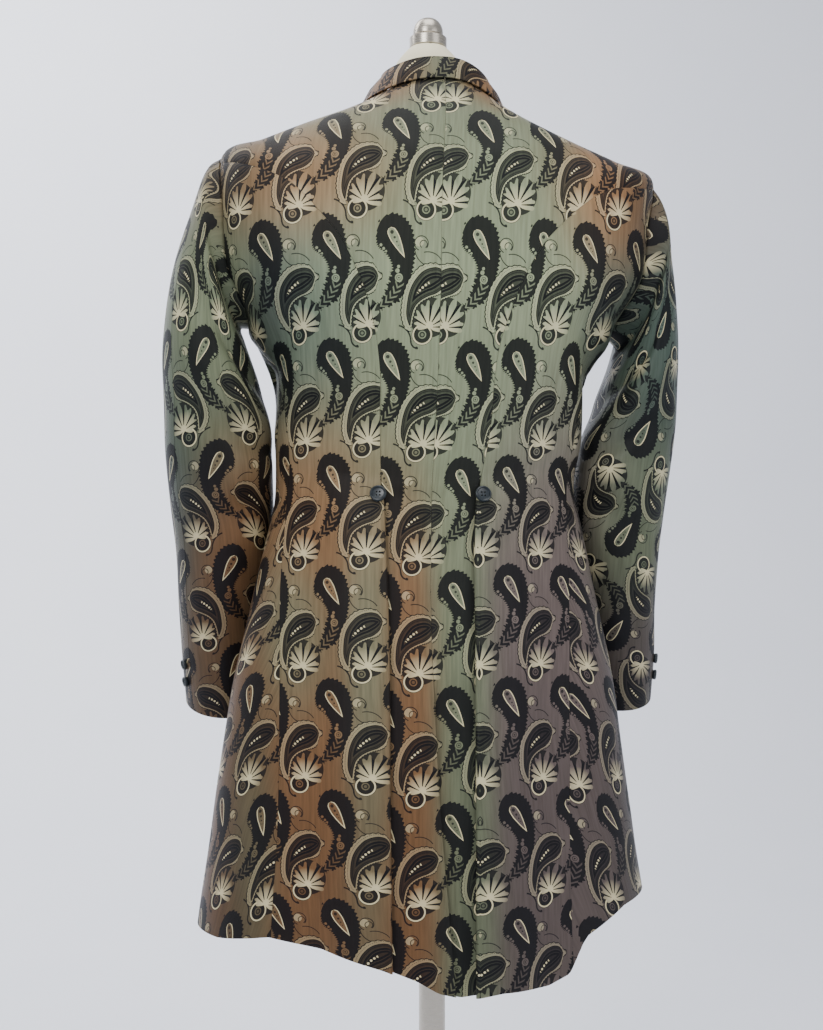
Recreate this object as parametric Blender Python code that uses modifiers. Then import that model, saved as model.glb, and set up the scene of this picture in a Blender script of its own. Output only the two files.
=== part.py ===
"""A frock coat with side-back pleats, on the limbless dress form that it rests on.

Metres, +Z up. The coat's front faces -Y and its back +Y, so the wearer's left is +X. The origin is
the centre of the stand's base where it meets the floor. Each piece that is cut and sewn is an open
sheet worked out on the coat's rings, given its thickness by Solidify.
"""
import functools
import math

import bpy
import numpy as np
from mathutils import Matrix

# Driving sizes
WALL = 0.0020            # thickness of the cloth with its canvas
SEAM_GAP = 0.0003        # between two panels at a seam
SLEEVE_SEAM_GAP = 0.0005 # between a sleeve's two pieces
ARMHOLE_GAP = 0.0016     # between a sleeve head and the armhole
BUTTON_GAP = 0.0003      # between a button and the cloth
BUTTON_SEAT = 0.0002     # out on the waist's hollow, in on the cuff's round
FORM_GAP = 0.0012        # between the cloth's inside and the form at the shoulders

BACK_BUTTON_ACROSS = 0.0180
FRONT_BUTTON_ACROSS = 0.0200
CUFF_BUTTON_ACROSS = 0.0125
BUTTON_THICK = 0.0042
BACK_BUTTON_HEIGHT = 1.0150
CUFF_BUTTON_ALONG = (9.05, 9.42)      # sections down the sleeve
CUFF_BUTTON_AROUND = 26.0             # degrees round from the outer point

# The coat's outer skin is a stack of rings, neck to hem. The heights are at centre back, side and
# centre front; the depths run from y = 0 to the skin at centre back and centre front.
RING_COLUMNS = ("z_back", "z_side", "z_front", "centre_x", "widest_y", "half_width",
                "back_y", "front_y", "squareness")
RINGS = {
    "neck":      (1.4765, 1.4580, 1.4150, -0.0030, 0.000, 0.0740, 0.0660, -0.0550, 2.1),
    "collar":    (1.4450, 1.4410, 1.3920, -0.0030, 0.000, 0.1150, 0.0880, -0.0780, 2.2),
    "yoke":      (1.4120, 1.4255, 1.3650, -0.0040, 0.000, 0.1600, 0.1050, -0.0950, 2.4),
    "shoulder":  (1.3720, 1.4075, 1.3350, -0.0060, 0.000, 0.2050, 0.1190, -0.1080, 2.6),
    "tip":       (1.3300, 1.3915, 1.3000, -0.0070, 0.000, 0.2440, 0.1285, -0.1160, 2.8),
    "blade":     (1.2830, 1.3330, 1.2620, 0.0000, 0.000, 0.2440, 0.1330, -0.1200, 3.0),
    "scye":      (1.2350, 1.2650, 1.2250, 0.0010, 0.000, 0.2390, 0.1320, -0.1200, 2.9),
    "armpit":    (1.1900, 1.2030, 1.1850, 0.0010, 0.000, 0.2040, 0.1280, -0.1170, 2.5),
    "midriff":   (1.1400, 1.1400, 1.1400, 0.0020, 0.000, 0.1785, 0.1185, -0.1100, 2.3),
    "high_waist": (1.0750, 1.0750, 1.0750, 0.0045, 0.000, 0.1735, 0.1070, -0.1040, 2.25),
    "waist":     (1.0200, 1.0200, 1.0200, 0.0075, 0.000, 0.1705, 0.1030, -0.1020, 2.2),
    "seat":      (0.9850, 0.9850, 0.9850, 0.0070, 0.004, 0.1770, 0.1070, -0.1030, 2.2),
    "hip":       (0.9000, 0.9000, 0.9000, 0.0085, 0.012, 0.1955, 0.1240, -0.1100, 2.1),
    "thigh":     (0.7800, 0.7800, 0.7800, 0.0108, 0.018, 0.2200, 0.1460, -0.1200, 2.05),
    "skirt":     (0.6400, 0.6500, 0.6500, 0.0125, 0.020, 0.2370, 0.1650, -0.1320, 2.0),
    "hem":       (0.5010, 0.5440, 0.5450, 0.0125, 0.022, 0.2500, 0.1790, -0.1420, 2.0),
}
RING_NUMBER = {name: number for number, name in enumerate(RINGS)}
RIGHT_SHOULDER_DROP = 0.0135   # the coat hangs a little lower on the right shoulder

# The hem at the back: across (x) and its height there. It is lowest on the centre backs.
HEM_LINE = (
    (-0.245, 0.572), (-0.200, 0.569), (-0.145, 0.547), (-0.125, 0.512), (-0.100, 0.504),
    (-0.045, 0.505), (-0.006, 0.500), (0.018, 0.506), (0.040, 0.519), (0.075, 0.533),
    (0.135, 0.551), (0.190, 0.557), (0.245, 0.544), (0.270, 0.543),
)
HEM_LINE_FROM = 12.5                            # the ring from which the skirt leans to that line

# Seams on the back: how far across (x) each lies at a height
CENTRE_BACK_SEAM = (
    (0.497, 0.0000), (0.583, 0.0065), (0.694, 0.0140), (0.800, 0.0176), (0.862, 0.0186),
    (1.015, 0.0146), (1.094, 0.0113), (1.218, 0.0089), (1.357, 0.0056), (1.435, -0.0020),
    (1.480, -0.0050),
)
SIDE_BACK_SEAM_LEFT = (
    (0.497, 0.0680), (0.700, 0.0677), (0.862, 0.0660), (1.009, 0.0680), (1.094, 0.0707),
    (1.147, 0.0716), (1.187, 0.0776), (1.230, 0.0894), (1.257, 0.1009), (1.285, 0.1155),
    (1.318, 0.1422), (1.330, 0.1525), (1.347, 0.1719), (1.362, 0.2010), (1.376, 0.2371),
    (1.400, 0.3000),
)
SIDE_BACK_SEAM_RIGHT = (
    (0.497, -0.0211), (0.698, -0.0248), (0.861, -0.0292), (1.009, -0.0350), (1.095, -0.0500),
    (1.139, -0.0519), (1.179, -0.0571), (1.210, -0.0674), (1.236, -0.0768), (1.262, -0.0899),
    (1.284, -0.1042), (1.306, -0.1253), (1.327, -0.1484), (1.341, -0.1694), (1.350, -0.1923),
    (1.357, -0.2361), (1.380, -0.3000),
)
SIDE_SEAM_LEFT = (
    (0.500, 0.1870), (0.565, 0.1869), (0.652, 0.1805), (0.780, 0.1771), (0.923, 0.1742),
    (0.985, 0.1690), (1.060, 0.1640), (1.130, 0.1730), (1.180, 0.1960), (1.205, 0.2200),
)
SIDE_SEAM_RIGHT = (
    (0.500, -0.1300), (0.578, -0.1285), (0.774, -0.1330), (0.949, -0.1424), (1.050, -0.1480),
    (1.120, -0.1640), (1.175, -0.1900), (1.205, -0.2200),
)
ARMHOLE_TOP, ARMHOLE_BOTTOM = RING_NUMBER["tip"], RING_NUMBER["armpit"]
ARMHOLE_BACK, ARMHOLE_FRONT = 0.064, 0.060      # how far it reaches behind and before its middle

YOKE_SEAM_RING = 5.0     # the side-back seam runs nearly level above this ring and down below it
EDGE_STRIP = 0.003       # a narrow strip along each edge of a panel
RING_SPACING = 0.050     # about, between the rings of the shoulders
WING_LEAN = 8

# Side-back pleats: a folded edge that stands off the body, turned under, below the waist buttons
PLEAT_TOP, PLEAT_FULL = 1.046, 0.990            # heights where it starts to lift and is fully lifted
PLEAT_LIFT, PLEAT_HEM_LIFT = 0.0100, 0.0140     # how far the folded edge stands off, top and hem
PLEAT_TURN = 0.0070                             # between the skins of the two layers of the fold
PLEAT_RETURN_START = 0.12                       # share of the return at its top
PLEAT_ROOM, PLEAT_TURN_START = 0.0044, 0.0042    # lift at which the turned layer starts, and its turn
PLEAT_RETURN = 0.028                            # how far the under layer runs back
PLEAT_FLAT, PLEAT_SPREAD = 0.028, 0.090         # lifted whole this far from the fold, not at all here
UNDERLAP = 0.022                                # centre back cloth beneath the fold

# Centre back vent: the left skirt laps over the right one
VENT_TOP, VENT_FULL = 0.830, 0.785
VENT_UNDERLAP = 0.026
VENT_SINK, VENT_SPREAD = 0.0052, 0.045
VENT_RAISE = 0.0012

# Centre front: the left front laps over the right one
FRONT_OVERLAP = 0.020
FRONT_RAISE, FRONT_SINK, FRONT_SPREAD = 0.0026, 0.0018, 0.080
FRONT_BUTTON_HEIGHTS = (1.365, 1.285, 1.205, 1.125, 1.050, 0.975)

# Lengthwise skirt folds: where round the coat (0 centre back, 1 side, 2 centre front), the height
# at which each starts, and how far it stands out (or in) and spreads at the hem
SKIRT_FOLD_COLUMNS = ("around", "start_z", "depth", "spread")
SKIRT_FOLDS = (
    (0.86, 0.860, -0.0060, 0.060),
    (1.10, 0.800, 0.0070, 0.070),
    (1.42, 0.820, -0.0060, 0.060),
    (1.70, 0.780, 0.0050, 0.070),
    (-0.80, 0.840, -0.0055, 0.060),
    (-1.06, 0.780, 0.0070, 0.070),
    (-1.36, 0.840, -0.0060, 0.060),
    (-1.66, 0.800, 0.0050, 0.070),
)

# Sleeves, armhole to cuff. Outer and inner are the points of each section farthest from and
# nearest to the body; the section is an oval through both, with its middle at middle_y.
SLEEVE_COLUMNS = ("outer_left", "outer_right", "outer_z", "inner_left", "inner_right", "inner_z",
                  "middle_y", "half_depth", "bulge", "tilt")
SLEEVE_SECTIONS = {
    "head":      (0.2480, 0.2525, 1.3800, 0.2160, 0.2150, 1.2020, 0.000, 0.0700, 0.018, 0.00),
    "cap":       (0.2650, 0.2635, 1.3420, 0.2120, 0.2130, 1.1880, 0.000, 0.0770, 0.012, 0.00),
    "bicep":     (0.2910, 0.2775, 1.2660, 0.2030, 0.2080, 1.1620, 0.000, 0.0790, 0.004, 0.00),
    "upper":     (0.3030, 0.2860, 1.1830, 0.1890, 0.1930, 1.1220, -0.002, 0.0770, 0.000, 0.00),
    "above_elbow": (0.3020, 0.2875, 1.1150, 0.1820, 0.1790, 1.0820, -0.008, 0.0730, 0.000, 0.05),
    "elbow":     (0.3010, 0.2855, 1.0650, 0.1805, 0.1710, 1.0480, -0.018, 0.0700, 0.000, 0.12),
    "below_elbow": (0.2965, 0.2835, 1.0100, 0.1790, 0.1690, 1.0000, -0.038, 0.0660, 0.000, 0.22),
    "forearm":   (0.2905, 0.2830, 0.9500, 0.1800, 0.1760, 0.9430, -0.060, 0.0620, 0.000, 0.29),
    "low_forearm": (0.2885, 0.2855, 0.8900, 0.1850, 0.1850, 0.8850, -0.083, 0.0590, 0.000, 0.30),
    "wrist":     (0.2855, 0.2920, 0.8300, 0.1880, 0.1930, 0.8270, -0.106, 0.0565, 0.000, 0.30),
    "cuff":      (0.2815, 0.2940, 0.7740, 0.1900, 0.2000, 0.7720, -0.127, 0.0550, 0.000, 0.30),
}
HIND_ARM_SEAM, FORE_ARM_SEAM = 38.0, 252.0      # degrees round from the outer point, by the back
SLEEVE_RADIUS = 0.045                           # about, where its seams run

# Sleeve creases: along (section number), around (degrees from the outer point, by the back), how
# deep, and how far each reaches along (sections), around (degrees), and how much it slants
CREASE_COLUMNS = ("along", "around", "depth", "reach_along", "reach_around", "slant")
SLEEVE_CREASES = (
    (3.3, 118.0, 0.0085, 0.42, 52.0, 0.010),
    (4.3, 105.0, -0.0050, 0.40, 50.0, 0.008),
    (5.2, 112.0, 0.0075, 0.38, 56.0, 0.006),
    (6.1, 120.0, -0.0045, 0.40, 48.0, -0.006),
    (7.0, 100.0, 0.0055, 0.36, 50.0, -0.010),
    (4.8, 265.0, 0.0060, 0.40, 50.0, 0.006),
    (5.7, 255.0, -0.0040, 0.38, 46.0, -0.006),
)

# Collar, by place round the neck: how high its stand is, how far it leans in, how far the fall
# drops from the fold and how far its edge stands out from the neck seam
COLLAR_COLUMNS = ("around", "stand", "lean", "drop", "spread")
COLLAR = (
    (0.00, 0.0195, 0.0035, 0.0255, 0.0082),
    (0.45, 0.0230, 0.0070, 0.0285, 0.0095),
    (1.00, 0.0330, 0.0160, 0.0350, 0.0115),
    (1.50, 0.0280, 0.0120, 0.0400, 0.0230),
    (1.93, 0.0200, 0.0060, 0.0460, 0.0330),
)
COLLAR_END = 1.93
COLLAR_FOLD_WIDTH = 0.0062

# The dress form: neck cap, torso, finial, pole and base
FORM_CENTRE_X = 0.0045
NECK_COLUMNS = ("z", "radius")
NECK = ((1.5270, 0.0208), (1.5245, 0.0232), (1.5165, 0.0310), (1.5060, 0.0385), (1.4900, 0.0440))
NECK_ROOT_SHARE, NECK_ROOT_DROP = 0.74, 0.012   # of the neck seam's ring, and how far below it
FORM_BOTTOM, FORM_BOTTOM_Z = "thigh", 0.7760
# Clearance inside the cloth by ring
FORM_CLEARANCE = {"collar": 0.0050, "yoke": 0.0013, "shoulder": 0.0080, "tip": 0.0110,
                  "blade": 0.0100, "scye": 0.0100, "armpit": 0.0090, "midriff": 0.0100,
                  "high_waist": 0.0100, "waist": 0.0110, "seat": 0.0120, "hip": 0.0180,
                  "thigh": 0.0300}
FORM_CORNER_ROOM = 0.0125                       # more of it where the shoulders turn
FORM_CORNER_PLACE, FORM_CORNER_SPREAD = 0.72, 0.30
FINIAL_BODY_RADIUS, FINIAL_BODY_HEIGHT = 0.0212, 0.0120
FINIAL_GROOVE_RADIUS, FINIAL_GROOVE_HEIGHT = 0.0160, 0.0016
FINIAL_DOME_RADIUS, FINIAL_DOME_HEIGHT = 0.0172, 0.0205
POLE_RADIUS = 0.0150
BASE_RADIUS, BASE_THICK, BASE_EDGE = 0.1900, 0.0240, 0.0060
BASE_CUP_RADIUS, BASE_CUP_HEIGHT = 0.0320, 0.0450
RESTING_GAP = 0.0003
ROUND_SEGMENTS = 24
BUTTON_SEGMENTS = 12
BASE_SEGMENTS = 36


def smooth_curve(knots, values, at):
    """A smooth curve through the values at rising knots, read at one place."""
    knots, values = np.asarray(knots, float), np.asarray(values, float)
    slopes = np.gradient(values, knots, axis=0)
    at = min(max(at, knots[0]), knots[-1])
    i = min(int(np.searchsorted(knots, at, side="right")) - 1, len(knots) - 2)
    width = knots[i + 1] - knots[i]
    t = (at - knots[i]) / width
    start, end = (1 + 2 * t) * (1 - t) ** 2, t * t * (3 - 2 * t)
    leave, arrive = t * (1 - t) ** 2 * width, t * t * (t - 1) * width
    return start * values[i] + end * values[i + 1] + leave * slopes[i] + arrive * slopes[i + 1]


def ease(value):
    """0 below 0, 1 above 1, and a smooth step between."""
    value = min(max(value, 0.0), 1.0)
    return value * value * (3 - 2 * value)


@functools.lru_cache(maxsize=None)
def ring_sizes(v):
    rows = list(RINGS.values())
    return dict(zip(RING_COLUMNS, smooth_curve(range(len(rows)), rows, v)))


@functools.lru_cache(maxsize=None)
def half_ring(v, side):
    """The ring's skin from centre back (0) by the side (1) to centre front (2), and its quarter's
    length. The first row holds those places, and the next three x, y and z."""
    size = ring_sizes(v)
    turn = np.linspace(0, math.pi, 241)
    out, along = np.sin(turn).clip(0), np.cos(turn)
    power = 2 / size["squareness"]
    depth = np.where(along > 0, size["back_y"] - size["widest_y"], size["widest_y"] - size["front_y"])
    x = size["centre_x"] + side * size["half_width"] * out ** power
    y = size["widest_y"] + depth * np.sign(along) * np.abs(along) ** power
    end_z = np.where(along > 0, size["z_back"], size["z_front"])
    z = size["z_side"] + (end_z - size["z_side"]) * along ** 2
    if side < 0:
        z = z - RIGHT_SHOULDER_DROP * ease((RING_NUMBER["armpit"] - v) / 3) * out ** 2
    if v > HEM_LINE_FROM:
        z_back, z_side, z_front = RINGS["hem"][:3]
        plain = z_side + (np.where(along > 0, z_back, z_front) - z_side) * along ** 2
        rise = np.interp(x, *zip(*HEM_LINE)) - plain
        rise = np.where(along > 0, rise, rise[len(turn) // 2] * out ** 2)
        z = z + rise * ((v - HEM_LINE_FROM) / (len(RINGS) - 1 - HEM_LINE_FROM)) ** 1.5
    steps = np.sqrt(np.diff(x) ** 2 + np.diff(y) ** 2 + np.diff(z) ** 2)
    length = np.concatenate([[0], np.cumsum(steps)])
    middle = len(turn) // 2
    quarter = length[middle]
    around = np.where(
        length <= quarter, length / quarter, 1 + (length - quarter) / (length[-1] - quarter)
    )
    return np.array([around, x, y, z]), quarter


def body_skin(u, v):
    """The coat's plain skin at a place round it (+ on the left) and down it, ring by ring."""
    side, around = (1, u) if u >= 0 else (-1, -u)
    if around > 2:
        side, around = -side, 4 - around
    ring, _ = half_ring(round(v, 6), side)
    return np.array([np.interp(around, ring[0], ring[axis]) for axis in (1, 2, 3)])


def unit(vector):
    return vector / max(np.linalg.norm(vector), 1e-12)


def outward(u, v):
    """The skin's outward direction."""
    last = len(RINGS) - 1
    across = body_skin(u + 0.012, v) - body_skin(u - 0.012, v)
    down = body_skin(u, min(v + 0.04, last)) - body_skin(u, max(v - 0.04, 0.0))
    return unit(np.cross(across, down))


def body_point(u, v, lift=0.0):
    point = body_skin(u, v)
    lift += skirt_lift(u, point[2])
    return point + lift * outward(u, v)


def skirt_lift(u, z):
    """How far the lengthwise folds move the skirt's skin."""
    total = 0.0
    for around, start_z, depth, spread in SKIRT_FOLDS:
        if z < start_z:
            grown = ease((start_z - z) / 0.30)
            near = (u - around) / (spread * 4)
            total += depth * grown * math.exp(-near * near)
    return total


@functools.lru_cache(maxsize=None)
def back_ring(v):
    """The back of the ring from the right side (-1) to the left side (1)."""
    left, right = half_ring(v, 1)[0], half_ring(v, -1)[0]
    left, right = left[:, left[0] <= 1], right[:, right[0] <= 1][:, ::-1]
    right = right * np.array([[-1], [1], [1], [1]])
    return np.concatenate([right[:, :-1], left], axis=1)


def seam_place(v, seam):
    """Where round the coat a seam of the back lies on this ring."""
    ring = back_ring(round(v, 6))
    heights, across = zip(*seam)
    wanted = [smooth_curve(heights, across, z) for z in ring[3]]
    return float(np.interp(0, ring[1] - wanted, ring[0]))


def armhole_place(v, side, behind):
    """Where round the coat the armhole's back or front edge lies on this ring."""
    t = (v - ARMHOLE_TOP) / (ARMHOLE_BOTTOM - ARMHOLE_TOP)
    if t <= 0 or t >= 1:
        return float(side)
    opening = 2 * math.sqrt(t * (1 - t))
    ring, _ = half_ring(round(v, 6), side)
    reach = ARMHOLE_BACK if behind else -ARMHOLE_FRONT
    place = np.interp(-reach * opening - ring_sizes(v)["widest_y"], -ring[2], ring[0])
    return side * float(place)


def metres_round(v, side):
    return half_ring(round(v, 6), side)[1]


def side_back_seam(v, side):
    return seam_place(v, SIDE_BACK_SEAM_LEFT if side > 0 else SIDE_BACK_SEAM_RIGHT)


def side_seam(v, side):
    if v <= ARMHOLE_BOTTOM:
        return armhole_place(v, side, True)
    return seam_place(v, SIDE_SEAM_LEFT if side > 0 else SIDE_SEAM_RIGHT)


def pleat_lift(z):
    """How far the pleat's folded edge stands off at this height."""
    lower = ease((PLEAT_FULL - z) / (PLEAT_FULL - RINGS["hem"][0]))
    full = PLEAT_LIFT + (PLEAT_HEM_LIFT - PLEAT_LIFT) * lower
    return full * ease((PLEAT_TOP - z) / (PLEAT_TOP - PLEAT_FULL))


def pleat_grown(z):
    """How far the pleat's turned and lower layers have grown under its lifted edge, up to 1, and
    below 0 where they have no room yet."""
    return min((pleat_lift(z) - PLEAT_ROOM) / (PLEAT_LIFT - PLEAT_ROOM), 1.0)


def pleat_skin(side, u, v, sunk=0.0):
    """The side-back's skin, lifted beside its folded edge."""
    fold = side_back_seam(v, side)
    away = abs(u - fold) * metres_round(v, side)
    spread = 1 - ease((away - PLEAT_FLAT) / (PLEAT_SPREAD - PLEAT_FLAT))
    return body_point(u, v, pleat_lift(body_skin(fold, v)[2]) * spread - sunk)


def above_seam(side, u, v):
    """How far inside the side-back seam a place lies: + on the centre back, - on the side-back."""
    x, _, z = body_skin(u, v)
    seam = SIDE_BACK_SEAM_LEFT if side > 0 else SIDE_BACK_SEAM_RIGHT
    return side * (smooth_curve(*zip(*seam), z) - x)


def crossing(test, low, high):
    """Where a test that is + at low and - at high changes its sign."""
    for _ in range(24):
        middle = (low + high) / 2
        if test(middle) > 0:
            low = middle
        else:
            high = middle
    return (low + high) / 2


@functools.lru_cache(maxsize=None)
def yoke_seam(side):
    """The nearly level stretch of the side-back seam: its place round where it turns down, on the
    ring YOKE_SEAM_RING, and its place and ring where it leaves the armhole."""
    leaves = crossing(lambda v: above_seam(side, armhole_place(v, side, True), v),
                      ARMHOLE_TOP, YOKE_SEAM_RING + 1)
    return side_back_seam(YOKE_SEAM_RING, side), armhole_place(leaves, side, True), leaves


@functools.lru_cache(maxsize=None)
def seam_ring(side, u):
    """The ring on which the nearly level stretch of the seam crosses a place round the coat."""
    return crossing(lambda v: above_seam(side, u, v), ARMHOLE_TOP - 0.5, YOKE_SEAM_RING + 0.5)


def wing_places(side, v, columns):
    """Places from where the seam turns down to the armhole, with those on the seam itself. Above
    the seam they lean out to the armhole only near it."""
    turns, joins, leaves = yoke_seam(side)
    shares = places_across(0.0, 1.0, columns, abs(joins - turns) * metres_round(leaves, side), 1.2)
    on_seam = [turns + (joins - turns) * share for share in shares]
    lean = armhole_place(v, side, True) - joins
    power = WING_LEAN if v < leaves else 1
    return [u + lean * share ** power for u, share in zip(on_seam, shares)], on_seam


def body_rows(side, start=0.0):
    """Ring numbers from neck to hem, closer where the seams or the pleat turn fast. Panels on one
    side share them, so that their edges meet."""
    rows = [ARMHOLE_TOP + 0.12, round(yoke_seam(side)[2], 4), 4.75, 6.75, 6.9, 7.12, 7.25, 7.75]
    rows += [9.75, 10.15, 10.35, 10.7, 12.75, 13.5, 14.5]
    even = [*np.arange(0, RING_NUMBER["midriff"], 0.5), *range(RING_NUMBER["midriff"], len(RINGS))]
    rows += [v for v in even if all(abs(v - w) > 0.05 for w in rows)]
    return [float(v) for v in sorted(rows) if v >= start - 1e-9]


def places_across(first, last, columns, metres, crowd=1.0):
    """Places from one edge of a panel to the other, with one close to each edge so that the wall
    stands square there."""
    strip = min(EDGE_STRIP / metres / abs(last - first), 0.2)
    inner = strip + (1 - 2 * strip) * np.linspace(0, 1, columns) ** crowd
    return [first + (last - first) * fraction for fraction in (0, *inner, 1)]


def set_material(obj, name, colour, roughness, metallic=0.0):
    material = bpy.data.materials.get(name) or bpy.data.materials.new(name)
    material.use_nodes = True
    shader = material.node_tree.nodes["Principled BSDF"]
    shader.inputs["Base Color"].default_value = (*colour, 1)
    shader.inputs["Roughness"].default_value = roughness
    shader.inputs["Metallic"].default_value = metallic
    material.diffuse_color = (*colour, 1)
    obj.data.materials.append(material)


def brocade(obj):
    set_material(obj, "paisley brocade", (0.085, 0.085, 0.070), 0.50)


def horn(obj):
    set_material(obj, "dark horn", (0.020, 0.024, 0.028), 0.35)


def metal(obj):
    set_material(obj, "brushed nickel", (0.60, 0.57, 0.52), 0.28, 1.0)


def cover(obj):
    set_material(obj, "cream cotton cover", (0.80, 0.75, 0.60), 0.80)


def new_object(name, points, faces, parts):
    mesh = bpy.data.meshes.new(name)
    mesh.from_pydata([tuple(map(float, p)) for p in points], [], faces)
    mesh.validate()
    mesh.shade_smooth()
    obj = bpy.data.objects.new(name, mesh)
    parts.objects.link(obj)
    return obj


def sheet(name, grids, parts, wall=WALL):
    """Sews grids of points that share an edge into one open sheet with a wall on its inside. Each
    grid's rows run down and its columns from left to right, seen from outside."""
    points, faces, known = [], [], {}

    def number(point):
        key = tuple(np.round(point, 6))
        if key not in known:
            known[key] = len(points)
            points.append(point)
        return known[key]

    for grid in grids:
        numbers = [[number(point) for point in row] for row in grid]
        for upper, lower in zip(numbers, numbers[1:]):
            for j in range(len(upper) - 1):
                face = (upper[j], lower[j], lower[j + 1], upper[j + 1])
                corners = [n for k, n in enumerate(face) if n != face[k - 1]]
                if len(set(corners)) >= 3:
                    faces.append(corners)
    obj = new_object(name, points, faces, parts)
    solidify = obj.modifiers.new("Wall", "SOLIDIFY")
    solidify.thickness = wall
    solidify.offset = -1
    solidify.use_quality_normals = True
    return obj


def orient(grid, flip):
    return [row[::-1] for row in grid] if flip else grid


def back_grids(side, rows, columns, wing_columns, point):
    """The centre back from its seam to the side-back seam, neck to hem, and the wing that reaches
    out to the armhole above the nearly level stretch of the seam."""
    turns, _, leaves = yoke_seam(side)
    strip, wing = [], []
    for v in rows:
        metres = metres_round(v, side)
        seam = seam_place(v, CENTRE_BACK_SEAM)
        inner, outer = seam, turns
        z = body_skin(inner, v)[2]
        vent = ease((VENT_TOP - z) / (VENT_TOP - VENT_FULL))
        if side < 0 and z < VENT_FULL + 0.002:
            inner += VENT_UNDERLAP / metres
        gap = side * SEAM_GAP / 2 / metres
        if v >= YOKE_SEAM_RING:
            outer = side_back_seam(v, side) - gap
            outer += side * UNDERLAP * ease(pleat_grown(z)) / metres
        row = []
        for u in places_across(inner + gap, outer, columns, metres):
            from_edge = 0.0 if side < 0 and u > seam else abs(u - seam) * metres
            near = 1 - ease(from_edge / VENT_SPREAD)
            row.append(point(side, u, v, near * vent * (VENT_RAISE if side > 0 else -VENT_SINK)))
        strip.append(row)
        if v <= YOKE_SEAM_RING:
            row = []
            for u, on_seam in zip(*wing_places(side, min(v, leaves), wing_columns)):
                lowest = seam_ring(side, on_seam) - SEAM_GAP / 2 / RING_SPACING
                row.append(point(side, u, v, 0.0) if v < lowest else point(side, on_seam, lowest, 0.0))
            row[0] = strip[-1][-1] if v < YOKE_SEAM_RING else row[0]
            wing.append(row)
    return strip, wing


def side_back_grids(side, rows, columns, point):
    """The side-back from its seam to the armhole and side seam, and the pleat turned under it."""
    main, turned = [], []
    for v in [v for v in rows if v > ARMHOLE_TOP - 0.5]:
        metres = metres_round(v, side)
        fold, outer = side_back_seam(v, side), side_seam(v, side)
        gap = side * SEAM_GAP / 2 / metres
        fold, outer = fold + gap, outer - gap
        if v < YOKE_SEAM_RING:
            row = []
            for u, on_seam in zip(*wing_places(side, v, columns)):
                highest = seam_ring(side, on_seam) + SEAM_GAP / 2 / RING_SPACING
                row.append(point(side, u, v, 0.0) if v > highest else point(side, on_seam, highest, 0.0))
            main.append(row)
            continue
        crowd = 1.2 if v < YOKE_SEAM_RING + 0.1 else 1.3
        places = places_across(fold, outer, columns, metres, crowd)
        z = body_skin(fold, v)[2]

        def lifted(u, sunk=0.0):
            away = abs(u - fold) * metres
            spread = 1 - ease((away - PLEAT_FLAT) / (PLEAT_SPREAD - PLEAT_FLAT))
            return point(side, u, v, pleat_lift(z) * spread - sunk)

        main.append([lifted(u) for u in places])
        grown = pleat_grown(z)
        if grown < 0:
            continue
        turn = PLEAT_TURN_START + (PLEAT_TURN - PLEAT_TURN_START) * grown
        back_run = PLEAT_RETURN * max(ease(grown), PLEAT_RETURN_START)
        normal, edge = outward(fold, v), main[-1][0]
        toward = unit(body_point(fold - side * 0.02, v) - body_point(fold, v))
        row = [edge]
        half = turn / 2
        for angle in (45, 90, 135):
            swing = math.radians(angle)
            row.append(edge - normal * half * (1 - math.cos(swing)) + toward * half * math.sin(swing))
        for back in (0.0, 0.4, 0.75, 1.0):
            row.append(lifted(fold + side * back * back_run / metres, turn))
        turned.append(row)
    return main, turned


def plain_point(side, u, v, lift):
    return body_point(u, v, lift)


def centre_back(side, parts):
    strip, wing = back_grids(side, body_rows(side), 4, 7, plain_point)
    name = "back_left" if side > 0 else "back_right"
    brocade(sheet(name, [orient(strip, side > 0), orient(wing, side > 0)], parts))


def side_back(side, parts):
    main, turned = side_back_grids(side, body_rows(side), 7, plain_point)
    name = "side_back_left" if side > 0 else "side_back_right"
    brocade(sheet(name, [orient(main, side > 0), orient(turned, side < 0)], parts))


def front(side, parts):
    """From the side seam and armhole to past centre front, cut in one from shoulder to hem."""
    grid = []
    for v in body_rows(side):
        metres = metres_round(v, side)
        if v <= ARMHOLE_TOP:
            inner = float(side)
        elif v < ARMHOLE_BOTTOM:
            inner = armhole_place(v, side, False)
        else:
            inner = side_seam(v, side)
        inner += side * SEAM_GAP / 2 / metres
        outer = side * (2 + FRONT_OVERLAP / metres)
        row = []
        for u in places_across(inner, outer, 9, metres):
            away = max(2 - abs(u), 0) * metres
            near = 1 - ease(away / FRONT_SPREAD)
            row.append(body_point(u, v, near * (FRONT_RAISE if side > 0 else -FRONT_SINK)))
        grid.append(row)
    name = "front_left" if side > 0 else "front_right"
    brocade(sheet(name, [orient(grid, side > 0)], parts))


@functools.lru_cache(maxsize=None)
def sleeve_line(side, degrees):
    """Points down the sleeve at one place round it: the armhole's, then one for each section."""
    swing = math.radians(degrees)
    out, behind = math.cos(swing), math.sin(swing)
    t = (1 - out) / 2
    v = ARMHOLE_TOP + t * (ARMHOLE_BOTTOM - ARMHOLE_TOP)
    start = body_skin(armhole_place(v, side, behind >= 0), v)
    line = []
    for values in SLEEVE_SECTIONS.values():
        row = dict(zip(SLEEVE_COLUMNS, values))
        which = "left" if side > 0 else "right"
        outer = np.array([row["outer_" + which], row["outer_z"]])
        inner = np.array([row["inner_" + which], row["inner_z"]])
        middle, reach = (outer + inner) / 2, (outer - inner) / 2
        x = middle[0] + reach[0] * out + row["bulge"] * abs(behind)
        y = row["middle_y"] + row["half_depth"] * behind
        drop = RIGHT_SHOULDER_DROP * max(0.0, 1 - len(line) / 3) if side < 0 else 0.0
        z = middle[1] + reach[1] * out - row["tilt"] * row["half_depth"] * behind - drop
        line.append(np.array([side * x, y, z]))
    start = start + unit(line[0] - start) * ARMHOLE_GAP
    return np.array([start] + line)


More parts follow.
